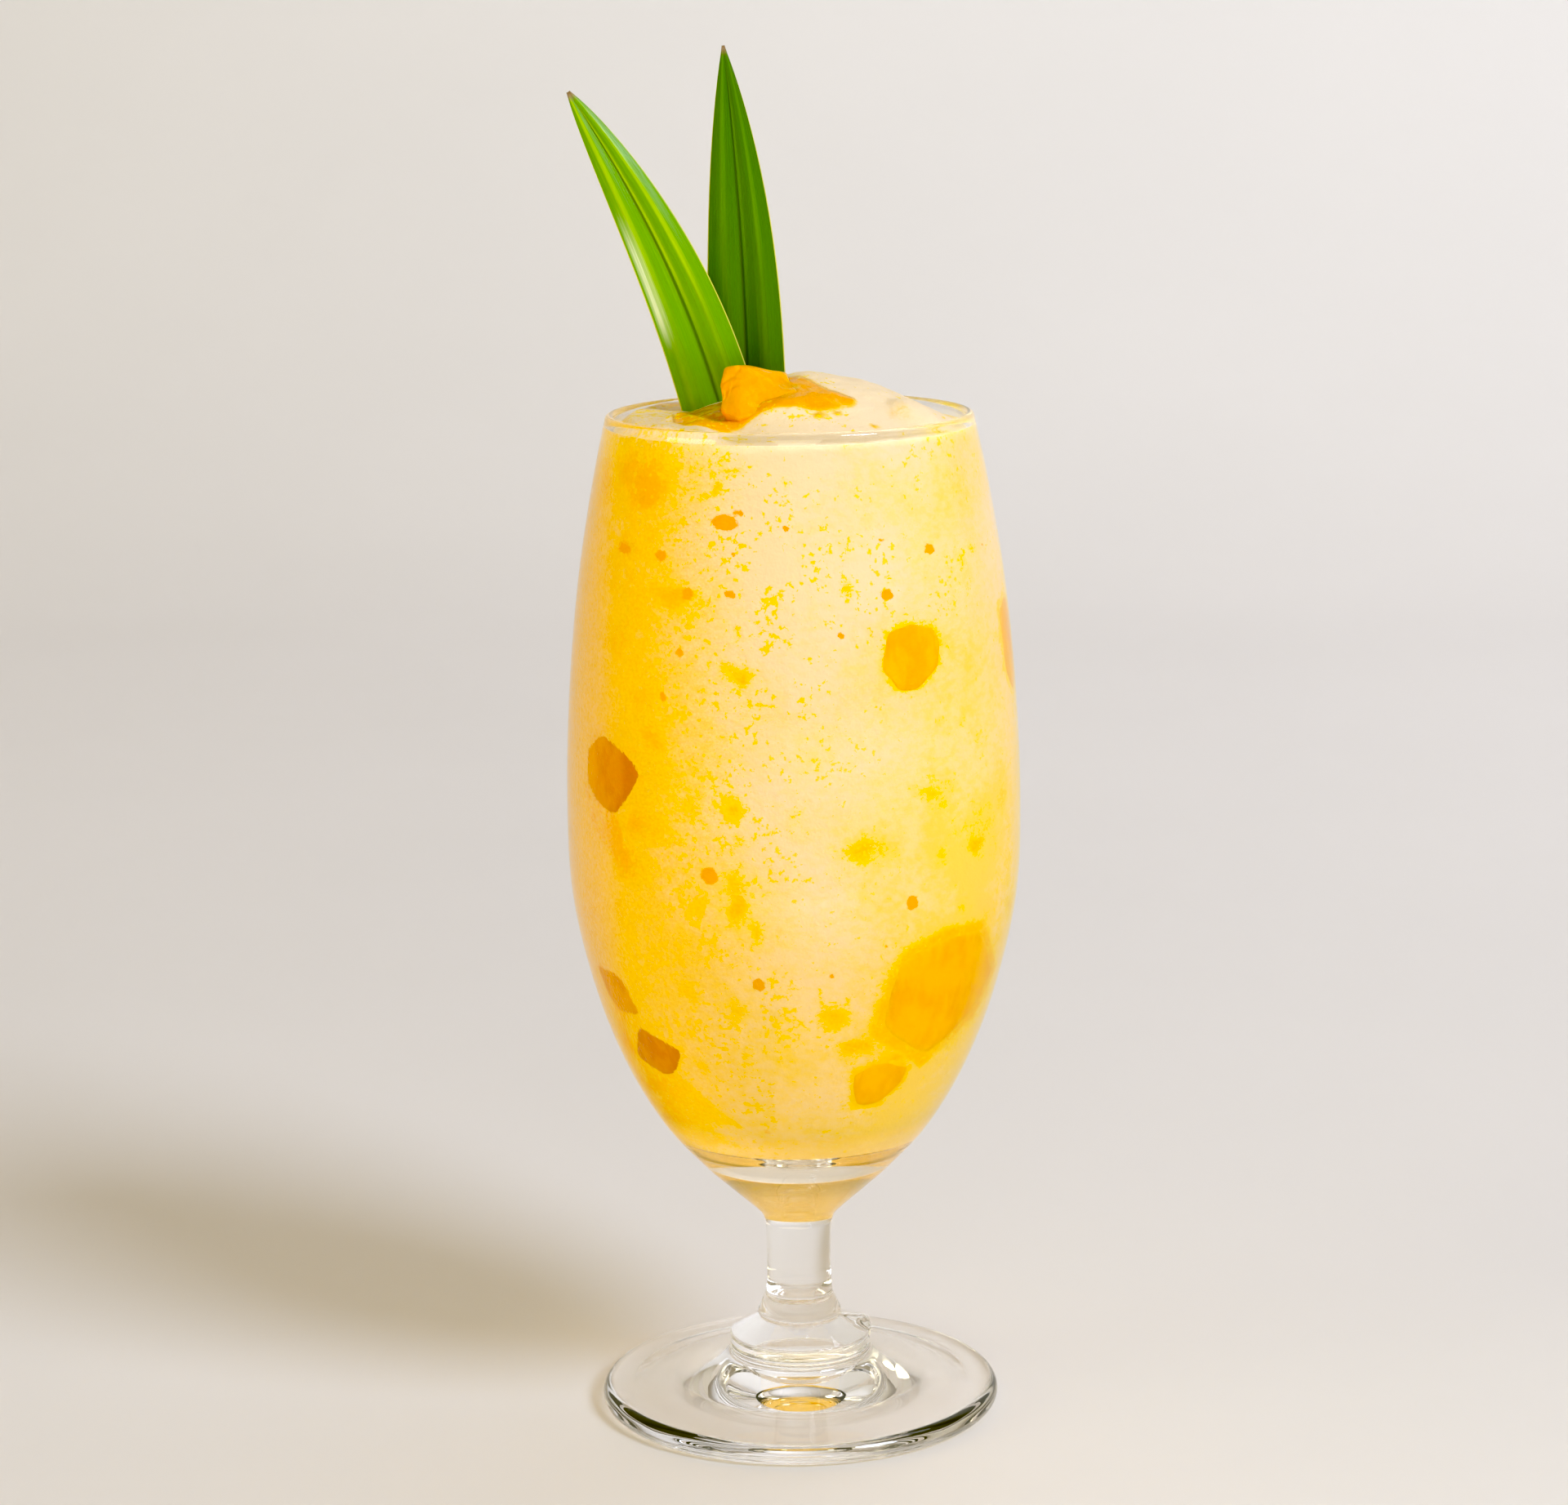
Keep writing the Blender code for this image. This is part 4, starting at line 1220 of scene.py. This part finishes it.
# The painted highlight's strength, then the dark, the middle and the light green
LEAF_GREENS = {
    "leaf_left": (0.9, (36, 77, 4), (96, 148, 10), (168, 196, 50)),
    "leaf_right": (0.0, (29, 63, 3), (56, 105, 6), (86, 134, 16)),
}
for leaf_name, (line, width, narrowing) in LEAVES.items():
    painted_highlight, *greens = LEAF_GREENS[leaf_name]
    green = leaf_finish(f"{leaf_name}_green", *(rgb(*shade) for shade in greens), painted_highlight)
    blade = leaf_mesh(line, width, narrowing)
    blade = add_piece(f"{leaf_name}_blade", blade, green, leaf_name, leaf_name, sharp=180)
    thickness = blade.modifiers.new("blade thickness", "SOLIDIFY")
    thickness.thickness = LEAF_THICKNESS * MM
    thickness.offset = 0.0

# %% [markdown]
# ## Studio
#
# A pale floor runs back and curves up into the backdrop, so that no line shows
# where the one ends and the other starts.

# %% Floor and backdrop
FLOOR_LEVEL = -0.00005
FLOOR_FRONT = -3.0
CURVE_START = 0.8
CURVE_RADIUS = 0.6
BACKDROP_TOP = 3.5
HALF_WIDTH = 4.0
curve = arc((CURVE_START, FLOOR_LEVEL + CURVE_RADIUS), CURVE_RADIUS, -90, 0, 24)
floor_line = [Vector((FLOOR_FRONT, FLOOR_LEVEL)), *curve, Vector((CURVE_START + CURVE_RADIUS, BACKDROP_TOP))]
floor_bm = bmesh.new()
floor_points = [floor_bm.verts.new((-HALF_WIDTH, p.x, p.y)) for p in floor_line]
floor_edges = [floor_bm.edges.new(pair) for pair in zip(floor_points, floor_points[1:])]
swept = bmesh.ops.extrude_edge_only(floor_bm, edges=floor_edges)["geom"]
swept_points = [g for g in swept if isinstance(g, bmesh.types.BMVert)]
bmesh.ops.translate(floor_bm, vec=(2 * HALF_WIDTH, 0, 0), verts=swept_points)
bmesh.ops.recalc_face_normals(floor_bm, faces=floor_bm.faces)
floor_mesh = bpy.data.meshes.new("studio_floor")
floor_bm.to_mesh(floor_mesh)
floor_bm.free()
floor_mesh.shade_smooth()
floor = bpy.data.objects.new("studio_floor", floor_mesh)
scene.collection.objects.link(floor)
floor_paint, floor_tree, floor_shader = new_material("pale_paper")
floor_cloud = cloud(floor_tree, own_place(floor_tree), 5.0, 3.0)
floor_colour = mix(floor_tree, floor_cloud, rgb(226, 223, 220), rgb(232, 229, 226))
fill(floor_tree, floor_shader, {"Base Color": floor_colour, "Roughness": 0.75, "Specular IOR Level": 0.2})
floor_mesh.materials.append(floor_paint)
print("floor and backdrop ready")

# %% [markdown]
# A large soft lamp stands high on the right in front, so the shadow falls to
# the back left. Warmer lamps fill the left side, the front and the foot, and
# one more lights the backdrop. Those that would show as discs in the glass are
# kept out of its reflections.


# %% Lamps
def soft_lamp(name, angle, elevation, distance, size, power, colour):
    """An area lamp that looks at the middle of the glass from that direction."""
    data = bpy.data.lights.new(name, "AREA")
    data.shape = "DISK"
    data.size = size
    data.energy = power
    data.color = colour
    lamp = bpy.data.objects.new(name, data)
    middle = Vector((0.0, 0.0, 0.11))
    rise = math.radians(elevation)
    place = middle + around(angle, distance * math.cos(rise), 0.0) + Vector((0, 0, distance * math.sin(rise)))
    turned = (place - middle).to_track_quat("Z", "Y").to_matrix().to_4x4()
    lamp.matrix_world = Matrix.Translation(place) @ turned
    scene.collection.objects.link(lamp)
    return lamp


# Angle from the front, elevation, distance, size, power and colour
soft_lamp("key", 50, 38, 2.2, 0.85, 36.5, (0.80, 0.90, 1.08))
soft_lamp("left_fill", -65, 5, 2.4, 1.6, 30.5, (1.0, 0.925, 0.62)).visible_glossy = False
soft_lamp("front_fill", 4, 2, 2.2, 1.2, 14.5, (1.0, 0.90, 0.68)).visible_glossy = False
floor_bounce = soft_lamp("floor_bounce", 5, -16, 0.37, 0.4, 1.6, (1.0, 0.97, 0.74))
floor_bounce.visible_glossy = floor_bounce.visible_transmission = floor_bounce.visible_camera = False
backdrop_lamp = soft_lamp("backdrop", 0, 0, 1.0, 1.2, 10.1, (0.94, 0.985, 1.09))
backdrop_lamp.matrix_world = Matrix.Translation((0.6, 0.5, 1.5)) @ Matrix.Rotation(math.radians(55), 4, "X")

# %% [markdown]
# The room gives the warm light that fills the shadow. It is darker in front and
# brighter behind, the glass mirrors and passes a paler room than the one that
# lights the drink, and the camera sees a plain pale wall.

# %% Room light
room = bpy.data.worlds.new("room")
room.use_nodes = True
tree = room.node_tree
_, back, _ = parts_of(tree, tree.nodes.new("ShaderNodeTexCoord").outputs["Generated"])
light_share = ramp(tree, back, -0.9, 0.5)
room_colour = mix(tree, light_share, (0.08, 0.055, 0.03, 1.0), (0.40, 0.258, 0.125, 1.0))
path = tree.nodes.new("ShaderNodeLightPath")
through = calc(tree, "MAXIMUM", path.outputs["Is Transmission Ray"], path.outputs["Is Glossy Ray"])
mirrored = ramp(tree, back, -1.0, 0.1)
mirrored = mix(tree, mirrored, (0.21, 0.165, 0.09, 1.0), (0.62, 0.55, 0.45, 1.0))
room_colour = mix(tree, through, room_colour, mirrored)
seen = mix(tree, path.outputs["Is Camera Ray"], room_colour, rgb(226, 221, 218))
tree.links.new(seen, tree.nodes["Background"].inputs["Color"])
scene.world = room
print("room:", room.name)

# %% [markdown]
# Light in the edge of the foot is thrown to and fro inside many times before it
# gets out. With Blender's four glossy bounces it would stay in and show black.
# The photograph's yellows hold hardly any blue, as its haze was taken out, so
# the finished picture loses the same thin veil of blue.

# %% Bounces and colour of the picture
scene.cycles.glossy_bounces = 8
scene.use_nodes = True
nodes, links = scene.node_tree.nodes, scene.node_tree.links
dehaze = nodes.new("CompositorNodeCurveRGB")
dehaze.inputs["Black Level"].default_value = (0.0, 0.0, 0.03, 1.0)
grade = nodes.new("CompositorNodeHueSat")
grade.inputs["Saturation"].default_value = 1.06
steps = [nodes["Render Layers"], dehaze, grade, nodes["Composite"]]
for step, following in zip(steps, steps[1:]):
    links.new(step.outputs["Image"], following.inputs["Image"])
print("picture:", " to ".join(step.name for step in steps))

# %% [markdown]
# ## Finish
#
# The view layer is brought up to date at the end.

# %% Last update
bpy.context.view_layer.update()
